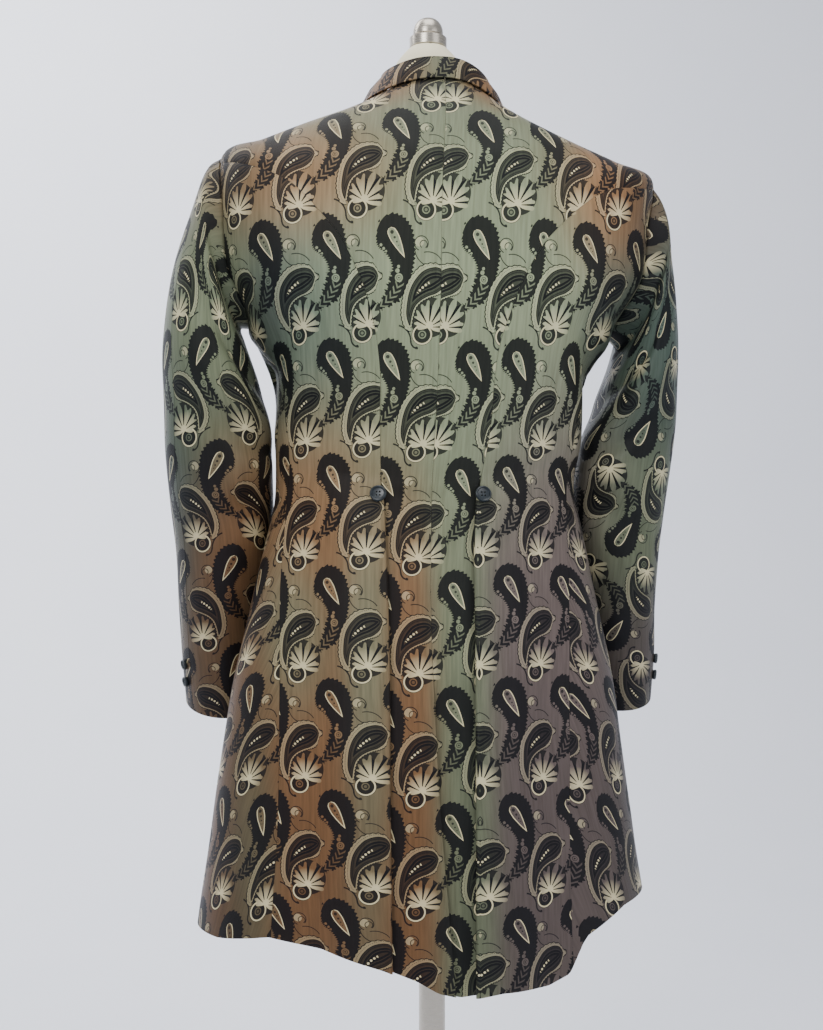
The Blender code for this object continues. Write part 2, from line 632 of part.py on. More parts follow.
def sleeve_skin(side, degrees, w):
    line = sleeve_line(side, round(degrees, 4))
    return smooth_curve(range(len(line)), line, w)


def sleeve_point(side, degrees, w):
    """The sleeve's skin with its creases, at a place round it and down it."""
    point = sleeve_skin(side, degrees, w)
    depth = 0.0
    for row in SLEEVE_CREASES:
        crease = dict(zip(CREASE_COLUMNS, row))
        turned = (degrees - crease["around"] + 180) % 360 - 180
        along = (w - crease["along"] - crease["slant"] * turned) / crease["reach_along"]
        around = turned / crease["reach_around"]
        depth += crease["depth"] * math.exp(-along * along - around * around)
    if abs(depth) < 1e-6:
        return point
    down = sleeve_skin(side, degrees, w + 0.05) - sleeve_skin(side, degrees, w - 0.05)
    across = sleeve_skin(side, degrees + 2, w) - sleeve_skin(side, degrees - 2, w)
    return point + depth * side * unit(np.cross(across, down))


def sleeve_piece(name, side, first, last, columns, parts):
    """One of the sleeve's two pieces, between two seams, in degrees round from the outer point."""
    rows = [0, 0.3, 0.65] + list(np.linspace(1, len(SLEEVE_SECTIONS), 17))
    degrees_a_metre = math.degrees(1 / SLEEVE_RADIUS)
    gap = SLEEVE_SEAM_GAP / 2 * degrees_a_metre
    around = places_across(first + gap, last - gap, columns, 1 / degrees_a_metre)
    grid = [[sleeve_point(side, degrees, w) for degrees in around] for w in rows]
    brocade(sheet(name, [orient(grid, side < 0)], parts))


def sleeves(parts):
    for side, which in ((1, "left"), (-1, "right")):
        sleeve_piece("top_sleeve_" + which, side, FORE_ARM_SEAM - 360, HIND_ARM_SEAM, 7, parts)
        sleeve_piece("under_sleeve_" + which, side, HIND_ARM_SEAM, FORE_ARM_SEAM, 9, parts)


def collar_row(u):
    """Points across the collar at one place: its fall from the edge up to the fold, then its stand
    down to the neck seam, on the skin that shows."""
    knots = [row[0] for row in COLLAR]
    stand, lean, drop, spread = smooth_curve(knots, [row[1:] for row in COLLAR], abs(u))
    seam = body_skin(u, 0.0)
    size = ring_sizes(0.0)
    middle = np.array([size["centre_x"], size["widest_y"], seam[2]])
    away = unit((seam - middle) * np.array([1, 1, 0]))
    up = np.array([0, 0, 1.0])
    foot = seam - away * 0.0016 + up * 0.0012
    fold_in = foot - away * lean + up * (stand - COLLAR_FOLD_WIDTH / 2)
    fold_out = fold_in + away * COLLAR_FOLD_WIDTH
    crown = (fold_in + fold_out) / 2 + up * COLLAR_FOLD_WIDTH / 2
    edge = seam + away * spread + up * (1.2e-3 + stand - drop)
    belly = (fold_out + edge) / 2 + away * 0.0022 + up * 0.0010
    shoulder_out = (crown + fold_out) / 2 + (away + up) * 0.0009
    shoulder_in = (crown + fold_in) / 2 + (up - away) * 0.0009
    return [edge, belly, fold_out, shoulder_out, crown, shoulder_in, fold_in, (fold_in + foot) / 2, foot]


def collar(parts):
    places = np.linspace(-COLLAR_END, COLLAR_END, 33)
    rows = [collar_row(u) for u in places]
    grid = [list(column) for column in zip(*rows)]
    brocade(sheet("collar", [grid], parts))


def turned(name, profile, parts, segments=ROUND_SEGMENTS):
    """A shape turned round Z from a profile that runs down its outer side, top to bottom."""
    obj = new_object(name, [(radius, 0, z) for radius, z in profile], [], parts)
    obj.data.edges.add(len(profile) - 1)
    for number, edge in enumerate(obj.data.edges):
        edge.vertices = (number, number + 1)
    screw = obj.modifiers.new("Turned", "SCREW")
    screw.steps = screw.render_steps = segments
    screw.use_merge_vertices = True
    screw.merge_threshold = 0.00001
    screw.use_smooth_shade = True
    return obj


def button_profile(across):
    """A dished button with a raised rim, from the middle of its face to the middle of its back."""
    radius, thick = across / 2, BUTTON_THICK
    return (
        (0, thick * 0.62), (radius * 0.62, thick * 0.62), (radius * 0.82, thick),
        (radius, thick * 0.62), (radius * 0.86, 0), (0, 0),
    )


def place_button(name, across, point, direction, parts):
    obj = turned(name, button_profile(across), parts, BUTTON_SEGMENTS)
    direction = unit(direction)
    up = np.array([0, 0, 1.0])
    sideways = unit(np.cross(up, direction))
    upright = np.cross(direction, sideways)
    matrix = np.eye(4)
    matrix[:3, 0], matrix[:3, 1], matrix[:3, 2] = sideways, upright, direction
    matrix[:3, 3] = point + direction * BUTTON_GAP
    obj.matrix_world = Matrix(matrix.tolist())
    horn(obj)


def ring_at_height(u, z):
    """The ring whose skin has this height at a place round the coat."""
    rings = np.arange(0, len(RINGS) - 1 + 1e-9, 0.05)
    heights = [-body_skin(u, v)[2] for v in rings]
    return float(np.interp(-z, heights, rings))


def buttons(parts):
    for side, which in ((1, "left"), (-1, "right")):
        v = ring_at_height(side * 0.2, BACK_BUTTON_HEIGHT)
        seam = side_back_seam(v, side)
        radius = BACK_BUTTON_ACROSS / 2
        place = seam + side * radius * 0.35 / metres_round(v, side)
        point = pleat_skin(side, place, v)
        down = pleat_skin(side, place, v + 0.2) - pleat_skin(side, place, v - 0.2)
        across = body_skin(place + 0.03, v) - body_skin(place - 0.03, v)
        direction = unit(np.cross(across, down))
        place_button("back_button_" + which, BACK_BUTTON_ACROSS,
                     point + direction * BUTTON_SEAT, direction, parts)
        for number, along in enumerate(CUFF_BUTTON_ALONG, 1):
            w = along + 1
            point = sleeve_point(side, CUFF_BUTTON_AROUND, w)
            down = sleeve_skin(side, CUFF_BUTTON_AROUND, w + 0.1) - point
            across = sleeve_skin(side, CUFF_BUTTON_AROUND + 3, w) - point
            direction = unit(np.cross(down, across) * side)
            place_button(f"cuff_button_{which}_{number}", CUFF_BUTTON_ACROSS,
                         point - direction * BUTTON_SEAT, direction, parts)
    for number, z in enumerate(FRONT_BUTTON_HEIGHTS, 1):
        v = ring_at_height(2.0, z)
        place_button(f"front_button_{number}", FRONT_BUTTON_ACROSS,
                     body_point(2.0, v, FRONT_RAISE), outward(2.0, v), parts)


def form_torso(parts):
    """A smooth padded torso with a neck cap and no limbs, just inside the coat."""
    columns = 40
    places = [4 * k / columns for k in range(columns)]
    places = [u if u <= 2 else u - 4 for u in places]
    loops = []
    for z, radius in NECK:
        loops.append([
            (FORM_CENTRE_X + radius * math.sin(2 * math.pi * k / columns),
             radius * math.cos(2 * math.pi * k / columns), z) for k in range(columns)
        ])
    names = list(FORM_CLEARANCE)
    knots = [RING_NUMBER[name] for name in names]
    spaces = [FORM_CLEARANCE[name] for name in names]
    middle = np.array([FORM_CENTRE_X, 0, 0])
    share = np.array([NECK_ROOT_SHARE, NECK_ROOT_SHARE, 1])
    drop = np.array([0, 0, NECK_ROOT_DROP])
    loops.append([middle + (body_skin(u, 0) - middle) * share - drop for u in places])
    for v in (0.8, 1.4, 2, 2.5, 3, 3.5, 4, 4.5, 5, 6, 7, 8, 9, 10, 11, 12, RING_NUMBER[FORM_BOTTOM]):
        space = WALL + FORM_GAP + smooth_curve(knots, spaces, v)
        at_shoulders = ease((v - 1.5) / 1.5) * ease((6.5 - v) / 1.5)
        loop = []
        for u in places:
            near = (abs(u) - FORM_CORNER_PLACE) / FORM_CORNER_SPREAD
            room = space + FORM_CORNER_ROOM * at_shoulders * math.exp(-near * near)
            loop.append(body_skin(u, v) - room * outward(u, v))
        loops.append(loop)
    for point in loops[-1]:
        point[2] = FORM_BOTTOM_Z
    points = [point for loop in loops for point in loop]
    faces = []
    for ring in range(len(loops) - 1):
        for k in range(columns):
            a, b = ring * columns + k, ring * columns + (k + 1) % columns
            faces.append((a, b, b + columns, a + columns))
    faces.append(tuple(reversed(range(columns))))
    faces.append(tuple(range(len(points) - columns, len(points))))
    cover(new_object("form_torso", points, faces, parts))


def stand(parts):
    """The finial on the neck cap, and the pole and weighted base that carry the form."""
    top = NECK[0][0] + RESTING_GAP
    groove = top + FINIAL_BODY_HEIGHT
    dome = groove + FINIAL_GROOVE_HEIGHT
    profile = [(0, dome + FINIAL_DOME_HEIGHT)]
    for step in range(1, 6):
        swing = math.radians(90 * step / 5)
        profile.append((FINIAL_DOME_RADIUS * math.sin(swing) ** 0.8,
                        dome + 0.003 + (FINIAL_DOME_HEIGHT - 0.003) * math.cos(swing)))
    profile += [(FINIAL_DOME_RADIUS, dome), (FINIAL_GROOVE_RADIUS, dome), (FINIAL_GROOVE_RADIUS, groove),
                (FINIAL_BODY_RADIUS, groove), (FINIAL_BODY_RADIUS, top), (0, top)]
    finial = turned("form_finial", profile, parts)
    finial.location.x = FORM_CENTRE_X
    metal(finial)

    cup_top = BASE_THICK + BASE_CUP_HEIGHT
    pole_top = FORM_BOTTOM_Z - RESTING_GAP
    pole = turned("form_pole", [(0, pole_top), (POLE_RADIUS, pole_top),
                                (POLE_RADIUS, cup_top + RESTING_GAP), (0, cup_top + RESTING_GAP)],
                  parts)
    metal(pole)
    base = turned("form_base", [
        (0, cup_top), (BASE_CUP_RADIUS * 0.72, cup_top), (BASE_CUP_RADIUS, BASE_THICK + 0.012),
        (BASE_CUP_RADIUS * 1.5, BASE_THICK), (BASE_RADIUS - BASE_EDGE, BASE_THICK * 0.8),
        (BASE_RADIUS, BASE_THICK * 0.45), (BASE_RADIUS, 0), (0, 0)], parts, BASE_SEGMENTS)
    metal(base)


def main():
    for obj in list(bpy.data.objects):
        bpy.data.objects.remove(obj, do_unlink=True)
    parts = bpy.data.collections.new("frock coat on dress form")
    bpy.context.scene.collection.children.link(parts)
    for side in (1, -1):
        centre_back(side, parts)
        side_back(side, parts)
        front(side, parts)
    sleeves(parts)
    collar(parts)
    buttons(parts)
    form_torso(parts)
    stand(parts)


main()
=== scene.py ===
"""A frock coat in paisley brocade on a limbless dress form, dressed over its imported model.

Metres, +Z up. The coat's back faces +Y and the wearer's left is +X. The skin of the coat is worked
out on the same rings as its solids, on finer rows and with the softer creases of hanging cloth.
"""
import functools
import math

import bpy
import numpy as np
from mathutils import Matrix, Vector


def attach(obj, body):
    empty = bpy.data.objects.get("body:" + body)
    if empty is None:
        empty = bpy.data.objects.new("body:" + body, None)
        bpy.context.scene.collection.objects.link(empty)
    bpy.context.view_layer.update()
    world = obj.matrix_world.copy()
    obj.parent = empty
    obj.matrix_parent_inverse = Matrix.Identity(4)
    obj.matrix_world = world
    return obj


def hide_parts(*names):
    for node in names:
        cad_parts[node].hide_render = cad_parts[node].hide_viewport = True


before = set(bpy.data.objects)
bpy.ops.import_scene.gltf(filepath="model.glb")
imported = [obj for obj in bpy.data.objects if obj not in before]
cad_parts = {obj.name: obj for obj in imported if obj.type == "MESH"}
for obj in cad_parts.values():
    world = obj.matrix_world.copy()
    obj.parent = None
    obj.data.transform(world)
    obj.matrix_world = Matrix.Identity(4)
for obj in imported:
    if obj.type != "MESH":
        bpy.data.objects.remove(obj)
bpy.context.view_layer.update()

bl_info = {
    "name": "Frock coat on a dress form",
    "version": (1, 0, 0),
    "blender": (4, 5, 0),
    "location": "3D View > Sidebar > Frock coat",
    "description": "Dresses the packed model of a paisley frock coat",
    "category": "Object",
}

# Driving sizes, the same as the solids'
WALL = 0.0020
SEAM_GAP = 0.0003
SLEEVE_SEAM_GAP = 0.0005
ARMHOLE_GAP = 0.0016
BACK_BUTTON_ACROSS = 0.0180
FRONT_BUTTON_ACROSS = 0.0200
CUFF_BUTTON_ACROSS = 0.0125

# The coat's outer skin is a stack of rings, neck to hem. The heights are at centre back, side and
# centre front; the depths run from y = 0 to the skin at centre back and centre front.
RING_COLUMNS = ("z_back", "z_side", "z_front", "centre_x", "widest_y", "half_width",
                "back_y", "front_y", "squareness")
RINGS = {
    "neck":      (1.4765, 1.4580, 1.4150, -0.0030, 0.000, 0.0740, 0.0660, -0.0550, 2.1),
    "collar":    (1.4450, 1.4410, 1.3920, -0.0030, 0.000, 0.1150, 0.0880, -0.0780, 2.2),
    "yoke":      (1.4120, 1.4255, 1.3650, -0.0040, 0.000, 0.1600, 0.1050, -0.0950, 2.4),
    "shoulder":  (1.3720, 1.4075, 1.3350, -0.0060, 0.000, 0.2050, 0.1190, -0.1080, 2.6),
    "tip":       (1.3300, 1.3915, 1.3000, -0.0070, 0.000, 0.2440, 0.1285, -0.1160, 2.8),
    "blade":     (1.2830, 1.3330, 1.2620, 0.0000, 0.000, 0.2440, 0.1330, -0.1200, 3.0),
    "scye":      (1.2350, 1.2650, 1.2250, 0.0010, 0.000, 0.2390, 0.1320, -0.1200, 2.9),
    "armpit":    (1.1900, 1.2030, 1.1850, 0.0010, 0.000, 0.2040, 0.1280, -0.1170, 2.5),
    "midriff":   (1.1400, 1.1400, 1.1400, 0.0020, 0.000, 0.1785, 0.1185, -0.1100, 2.3),
    "high_waist": (1.0750, 1.0750, 1.0750, 0.0045, 0.000, 0.1735, 0.1070, -0.1040, 2.25),
    "waist":     (1.0200, 1.0200, 1.0200, 0.0075, 0.000, 0.1705, 0.1030, -0.1020, 2.2),
    "seat":      (0.9850, 0.9850, 0.9850, 0.0070, 0.004, 0.1770, 0.1070, -0.1030, 2.2),
    "hip":       (0.9000, 0.9000, 0.9000, 0.0085, 0.012, 0.1955, 0.1240, -0.1100, 2.1),
    "thigh":     (0.7800, 0.7800, 0.7800, 0.0108, 0.018, 0.2200, 0.1460, -0.1200, 2.05),
    "skirt":     (0.6400, 0.6500, 0.6500, 0.0125, 0.020, 0.2370, 0.1650, -0.1320, 2.0),
    "hem":       (0.5010, 0.5440, 0.5450, 0.0125, 0.022, 0.2500, 0.1790, -0.1420, 2.0),
}
RING_NUMBER = {name: number for number, name in enumerate(RINGS)}
RIGHT_SHOULDER_DROP = 0.0135   # the coat hangs a little lower on the right shoulder

# The hem at the back: across (x) and its height there. It is lowest on the centre backs.
HEM_LINE = (
    (-0.245, 0.572), (-0.200, 0.569), (-0.145, 0.547), (-0.125, 0.512), (-0.100, 0.504),
    (-0.045, 0.505), (-0.006, 0.500), (0.018, 0.506), (0.040, 0.519), (0.075, 0.533),
    (0.135, 0.551), (0.190, 0.557), (0.245, 0.544), (0.270, 0.543),
)
HEM_LINE_FROM = 12.5                            # the ring from which the skirt leans to that line

# Seams on the back: how far across (x) each lies at a height
CENTRE_BACK_SEAM = (
    (0.497, 0.0000), (0.583, 0.0065), (0.694, 0.0140), (0.800, 0.0176), (0.862, 0.0186),
    (1.015, 0.0146), (1.094, 0.0113), (1.218, 0.0089), (1.357, 0.0056), (1.435, -0.0020),
    (1.480, -0.0050),
)
SIDE_BACK_SEAM_LEFT = (
    (0.497, 0.0680), (0.700, 0.0677), (0.862, 0.0660), (1.009, 0.0680), (1.094, 0.0707),
    (1.147, 0.0716), (1.187, 0.0776), (1.230, 0.0894), (1.257, 0.1009), (1.285, 0.1155),
    (1.318, 0.1422), (1.330, 0.1525), (1.347, 0.1719), (1.362, 0.2010), (1.376, 0.2371),
    (1.400, 0.3000),
)
SIDE_BACK_SEAM_RIGHT = (
    (0.497, -0.0211), (0.698, -0.0248), (0.861, -0.0292), (1.009, -0.0350), (1.095, -0.0500),
    (1.139, -0.0519), (1.179, -0.0571), (1.210, -0.0674), (1.236, -0.0768), (1.262, -0.0899),
    (1.284, -0.1042), (1.306, -0.1253), (1.327, -0.1484), (1.341, -0.1694), (1.350, -0.1923),
    (1.357, -0.2361), (1.380, -0.3000),
)
SIDE_SEAM_LEFT = (
    (0.500, 0.1870), (0.565, 0.1869), (0.652, 0.1805), (0.780, 0.1771), (0.923, 0.1742),
    (0.985, 0.1690), (1.060, 0.1640), (1.130, 0.1730), (1.180, 0.1960), (1.205, 0.2200),
)
SIDE_SEAM_RIGHT = (
    (0.500, -0.1300), (0.578, -0.1285), (0.774, -0.1330), (0.949, -0.1424), (1.050, -0.1480),
    (1.120, -0.1640), (1.175, -0.1900), (1.205, -0.2200),
)
ARMHOLE_TOP, ARMHOLE_BOTTOM = RING_NUMBER["tip"], RING_NUMBER["armpit"]
ARMHOLE_BACK, ARMHOLE_FRONT = 0.064, 0.060      # how far it reaches behind and before its middle

YOKE_SEAM_RING = 5.0     # the side-back seam runs nearly level above this ring and down below it
EDGE_STRIP = 0.003       # a narrow strip along each edge of a panel
RING_SPACING = 0.050     # about, between the rings of the shoulders
WING_LEAN = 8

# Side-back pleats: a folded edge that stands off the body, turned under, below the waist buttons
PLEAT_TOP, PLEAT_FULL = 1.046, 0.990            # heights where it starts to lift and is fully lifted
PLEAT_LIFT, PLEAT_HEM_LIFT = 0.0100, 0.0140     # how far the folded edge stands off, top and hem
PLEAT_TURN = 0.0070                             # between the skins of the two layers of the fold
PLEAT_RETURN_START = 0.12                       # share of the return at its top
PLEAT_ROOM, PLEAT_TURN_START = 0.0044, 0.0042    # lift at which the turned layer starts, and its turn
PLEAT_RETURN = 0.028                            # how far the under layer runs back
PLEAT_FLAT, PLEAT_SPREAD = 0.028, 0.090         # lifted whole this far from the fold, not at all here
UNDERLAP = 0.022                                # centre back cloth beneath the fold

# Centre back vent: the left skirt laps over the right one
VENT_TOP, VENT_FULL = 0.830, 0.785
VENT_UNDERLAP = 0.026
VENT_SINK, VENT_SPREAD = 0.0052, 0.045
VENT_RAISE = 0.0012

# Centre front: the left front laps over the right one
FRONT_OVERLAP = 0.020
FRONT_RAISE, FRONT_SINK, FRONT_SPREAD = 0.0026, 0.0018, 0.080

# Lengthwise skirt folds: where round the coat (0 centre back, 1 side, 2 centre front), the height
# at which each starts, and how far it stands out (or in) and spreads at the hem
SKIRT_FOLDS = (
    (0.86, 0.860, -0.0060, 0.060),
    (1.10, 0.800, 0.0070, 0.070),
    (1.42, 0.820, -0.0060, 0.060),
    (1.70, 0.780, 0.0050, 0.070),
    (-0.80, 0.840, -0.0055, 0.060),
    (-1.06, 0.780, 0.0070, 0.070),
    (-1.36, 0.840, -0.0060, 0.060),
    (-1.66, 0.800, 0.0050, 0.070),
)

# Sleeves, armhole to cuff. Outer and inner are the points of each section farthest from and
# nearest to the body; the section is an oval through both, with its middle at middle_y.
SLEEVE_COLUMNS = ("outer_left", "outer_right", "outer_z", "inner_left", "inner_right", "inner_z",
                  "middle_y", "half_depth", "bulge", "tilt")
SLEEVE_SECTIONS = {
    "head":      (0.2480, 0.2525, 1.3800, 0.2160, 0.2150, 1.2020, 0.000, 0.0700, 0.018, 0.00),
    "cap":       (0.2650, 0.2635, 1.3420, 0.2120, 0.2130, 1.1880, 0.000, 0.0770, 0.012, 0.00),
    "bicep":     (0.2910, 0.2775, 1.2660, 0.2030, 0.2080, 1.1620, 0.000, 0.0790, 0.004, 0.00),
    "upper":     (0.3030, 0.2860, 1.1830, 0.1890, 0.1930, 1.1220, -0.002, 0.0770, 0.000, 0.00),
    "above_elbow": (0.3020, 0.2875, 1.1150, 0.1820, 0.1790, 1.0820, -0.008, 0.0730, 0.000, 0.05),
    "elbow":     (0.3010, 0.2855, 1.0650, 0.1805, 0.1710, 1.0480, -0.018, 0.0700, 0.000, 0.12),
    "below_elbow": (0.2965, 0.2835, 1.0100, 0.1790, 0.1690, 1.0000, -0.038, 0.0660, 0.000, 0.22),
    "forearm":   (0.2905, 0.2830, 0.9500, 0.1800, 0.1760, 0.9430, -0.060, 0.0620, 0.000, 0.29),
    "low_forearm": (0.2885, 0.2855, 0.8900, 0.1850, 0.1850, 0.8850, -0.083, 0.0590, 0.000, 0.30),
    "wrist":     (0.2855, 0.2920, 0.8300, 0.1880, 0.1930, 0.8270, -0.106, 0.0565, 0.000, 0.30),
    "cuff":      (0.2815, 0.2940, 0.7740, 0.1900, 0.2000, 0.7720, -0.127, 0.0550, 0.000, 0.30),
}
HIND_ARM_SEAM, FORE_ARM_SEAM = 38.0, 252.0      # degrees round from the outer point, by the back
SLEEVE_RADIUS = 0.045                           # about, where its seams run

# Sleeve creases: along (section number), around (degrees from the outer point, by the back), how
# deep, and how far each reaches along (sections), around (degrees), and how much it slants
CREASE_COLUMNS = ("along", "around", "depth", "reach_along", "reach_around", "slant")
SLEEVE_CREASES = (
    (3.3, 118.0, 0.0085, 0.42, 52.0, 0.010),
    (4.3, 105.0, -0.0050, 0.40, 50.0, 0.008),
    (5.2, 112.0, 0.0075, 0.38, 56.0, 0.006),
    (6.1, 120.0, -0.0045, 0.40, 48.0, -0.006),
    (7.0, 100.0, 0.0055, 0.36, 50.0, -0.010),
    (4.8, 265.0, 0.0060, 0.40, 50.0, 0.006),
    (5.7, 255.0, -0.0040, 0.38, 46.0, -0.006),
)

# Collar, by place round the neck: how high its stand is, how far it leans in, how far the fall
# drops from the fold and how far its edge stands out from the neck seam
COLLAR = (
    (0.00, 0.0195, 0.0035, 0.0255, 0.0082),
    (0.45, 0.0230, 0.0070, 0.0285, 0.0095),
    (1.00, 0.0330, 0.0160, 0.0350, 0.0115),
    (1.50, 0.0280, 0.0120, 0.0400, 0.0230),
    (1.93, 0.0200, 0.0060, 0.0460, 0.0330),
)
COLLAR_END = 1.93
COLLAR_FOLD_WIDTH = 0.0062

# The dress form: neck cap, torso, finial, pole and base
FORM_CENTRE_X = 0.0045
NECK_TOP, FORM_BOTTOM_Z = 1.5270, 0.7760
FINIAL_BODY_RADIUS, FINIAL_BODY_HEIGHT = 0.0212, 0.0120
FINIAL_GROOVE_RADIUS, FINIAL_GROOVE_HEIGHT = 0.0160, 0.0016
FINIAL_DOME_RADIUS, FINIAL_DOME_HEIGHT = 0.0172, 0.0205
POLE_RADIUS = 0.0150
BASE_RADIUS, BASE_THICK, BASE_EDGE = 0.1900, 0.0240, 0.0060
BASE_CUP_RADIUS, BASE_CUP_HEIGHT = 0.0320, 0.0450
RESTING_GAP = 0.0003


def smooth_curve(knots, values, at):
    """A smooth curve through the values at rising knots, read at one place."""
    knots, values = np.asarray(knots, float), np.asarray(values, float)
    slopes = np.gradient(values, knots, axis=0)
    at = min(max(at, knots[0]), knots[-1])
    i = min(int(np.searchsorted(knots, at, side="right")) - 1, len(knots) - 2)
    width = knots[i + 1] - knots[i]
    t = (at - knots[i]) / width
    start, end = (1 + 2 * t) * (1 - t) ** 2, t * t * (3 - 2 * t)
    leave, arrive = t * (1 - t) ** 2 * width, t * t * (t - 1) * width
    return start * values[i] + end * values[i + 1] + leave * slopes[i] + arrive * slopes[i + 1]


def ease(value):
    """0 below 0, 1 above 1, and a smooth step between."""
    value = min(max(value, 0.0), 1.0)
    return value * value * (3 - 2 * value)


@functools.lru_cache(maxsize=None)
def ring_sizes(v):
    rows = list(RINGS.values())
    return dict(zip(RING_COLUMNS, smooth_curve(range(len(rows)), rows, v)))


@functools.lru_cache(maxsize=None)
def half_ring(v, side):
    """The ring's skin from centre back (0) by the side (1) to centre front (2), and its quarter's
    length. The first row holds those places, and the next three x, y and z."""
    size = ring_sizes(v)
    turn = np.linspace(0, math.pi, 241)
    out, along = np.sin(turn).clip(0), np.cos(turn)
    power = 2 / size["squareness"]
    depth = np.where(along > 0, size["back_y"] - size["widest_y"], size["widest_y"] - size["front_y"])
    x = size["centre_x"] + side * size["half_width"] * out ** power
    y = size["widest_y"] + depth * np.sign(along) * np.abs(along) ** power
    end_z = np.where(along > 0, size["z_back"], size["z_front"])
    z = size["z_side"] + (end_z - size["z_side"]) * along ** 2
    if side < 0:
        z = z - RIGHT_SHOULDER_DROP * ease((RING_NUMBER["armpit"] - v) / 3) * out ** 2
    if v > HEM_LINE_FROM:
        z_back, z_side, z_front = RINGS["hem"][:3]
        plain = z_side + (np.where(along > 0, z_back, z_front) - z_side) * along ** 2
        rise = np.interp(x, *zip(*HEM_LINE)) - plain
        rise = np.where(along > 0, rise, rise[len(turn) // 2] * out ** 2)
        z = z + rise * ((v - HEM_LINE_FROM) / (len(RINGS) - 1 - HEM_LINE_FROM)) ** 1.5
    steps = np.sqrt(np.diff(x) ** 2 + np.diff(y) ** 2 + np.diff(z) ** 2)
    length = np.concatenate([[0], np.cumsum(steps)])
    middle = len(turn) // 2
    quarter = length[middle]
    around = np.where(
        length <= quarter, length / quarter, 1 + (length - quarter) / (length[-1] - quarter)
    )
    return np.array([around, x, y, z]), quarter


def body_skin(u, v):
    """The coat's plain skin at a place round it (+ on the left) and down it, ring by ring."""
    side, around = (1, u) if u >= 0 else (-1, -u)
    if around > 2:
        side, around = -side, 4 - around
    ring, _ = half_ring(round(v, 6), side)
    return np.array([np.interp(around, ring[0], ring[axis]) for axis in (1, 2, 3)])


def unit(vector):
    return vector / max(np.linalg.norm(vector), 1e-12)


def outward(u, v):
    """The skin's outward direction."""
    last = len(RINGS) - 1
    across = body_skin(u + 0.012, v) - body_skin(u - 0.012, v)
    down = body_skin(u, min(v + 0.04, last)) - body_skin(u, max(v - 0.04, 0.0))
    return unit(np.cross(across, down))


def body_point(u, v, lift=0.0):
    point = body_skin(u, v)
    lift += skirt_lift(u, point[2])
    return point + lift * outward(u, v)


def skirt_lift(u, z):
    """How far the lengthwise folds move the skirt's skin."""
    total = 0.0
    for around, start_z, depth, spread in SKIRT_FOLDS:
        if z < start_z:
            grown = ease((start_z - z) / 0.30)
            near = (u - around) / (spread * 4)
            total += depth * grown * math.exp(-near * near)
    return total


@functools.lru_cache(maxsize=None)
def back_ring(v):
    """The back of the ring from the right side (-1) to the left side (1)."""
    left, right = half_ring(v, 1)[0], half_ring(v, -1)[0]
    left, right = left[:, left[0] <= 1], right[:, right[0] <= 1][:, ::-1]
    right = right * np.array([[-1], [1], [1], [1]])
    return np.concatenate([right[:, :-1], left], axis=1)


@functools.lru_cache(maxsize=None)
def seam_place(v, seam):
    """Where round the coat a seam of the back lies on this ring."""
    ring = back_ring(round(v, 6))
    heights, across = zip(*seam)
    wanted = [smooth_curve(heights, across, z) for z in ring[3]]
    return float(np.interp(0, ring[1] - wanted, ring[0]))


def armhole_place(v, side, behind):
    """Where round the coat the armhole's back or front edge lies on this ring."""
    t = (v - ARMHOLE_TOP) / (ARMHOLE_BOTTOM - ARMHOLE_TOP)
    if t <= 0 or t >= 1:
        return float(side)
    opening = 2 * math.sqrt(t * (1 - t))
    ring, _ = half_ring(round(v, 6), side)
    reach = ARMHOLE_BACK if behind else -ARMHOLE_FRONT
    place = np.interp(-reach * opening - ring_sizes(v)["widest_y"], -ring[2], ring[0])
    return side * float(place)


def metres_round(v, side):
    return half_ring(round(v, 6), side)[1]


def side_back_seam(v, side):
    return seam_place(v, SIDE_BACK_SEAM_LEFT if side > 0 else SIDE_BACK_SEAM_RIGHT)


def side_seam(v, side):
    if v <= ARMHOLE_BOTTOM:
        return armhole_place(v, side, True)
    return seam_place(v, SIDE_SEAM_LEFT if side > 0 else SIDE_SEAM_RIGHT)


def pleat_lift(z):
    """How far the pleat's folded edge stands off at this height."""
    lower = ease((PLEAT_FULL - z) / (PLEAT_FULL - RINGS["hem"][0]))
    full = PLEAT_LIFT + (PLEAT_HEM_LIFT - PLEAT_LIFT) * lower
    return full * ease((PLEAT_TOP - z) / (PLEAT_TOP - PLEAT_FULL))


def pleat_grown(z):
    """How far the pleat's turned and lower layers have grown under its lifted edge, up to 1, and
    below 0 where they have no room yet."""
    return min((pleat_lift(z) - PLEAT_ROOM) / (PLEAT_LIFT - PLEAT_ROOM), 1.0)


def above_seam(side, u, v):
    """How far inside the side-back seam a place lies: + on the centre back, - on the side-back."""
    x, _, z = body_skin(u, v)
    seam = SIDE_BACK_SEAM_LEFT if side > 0 else SIDE_BACK_SEAM_RIGHT
    return side * (smooth_curve(*zip(*seam), z) - x)


def crossing(test, low, high):
    """Where a test that is + at low and - at high changes its sign."""
    for _ in range(24):
        middle = (low + high) / 2
        if test(middle) > 0:
            low = middle
        else:
            high = middle
    return (low + high) / 2


@functools.lru_cache(maxsize=None)
def yoke_seam(side):
    """The nearly level stretch of the side-back seam: its place round where it turns down, on the
    ring YOKE_SEAM_RING, and its place and ring where it leaves the armhole."""
    leaves = crossing(lambda v: above_seam(side, armhole_place(v, side, True), v),
                      ARMHOLE_TOP, YOKE_SEAM_RING + 1)
    return side_back_seam(YOKE_SEAM_RING, side), armhole_place(leaves, side, True), leaves


@functools.lru_cache(maxsize=None)
def seam_ring(side, u):
    """The ring on which the nearly level stretch of the seam crosses a place round the coat."""
    return crossing(lambda v: above_seam(side, u, v), ARMHOLE_TOP - 0.5, YOKE_SEAM_RING + 0.5)


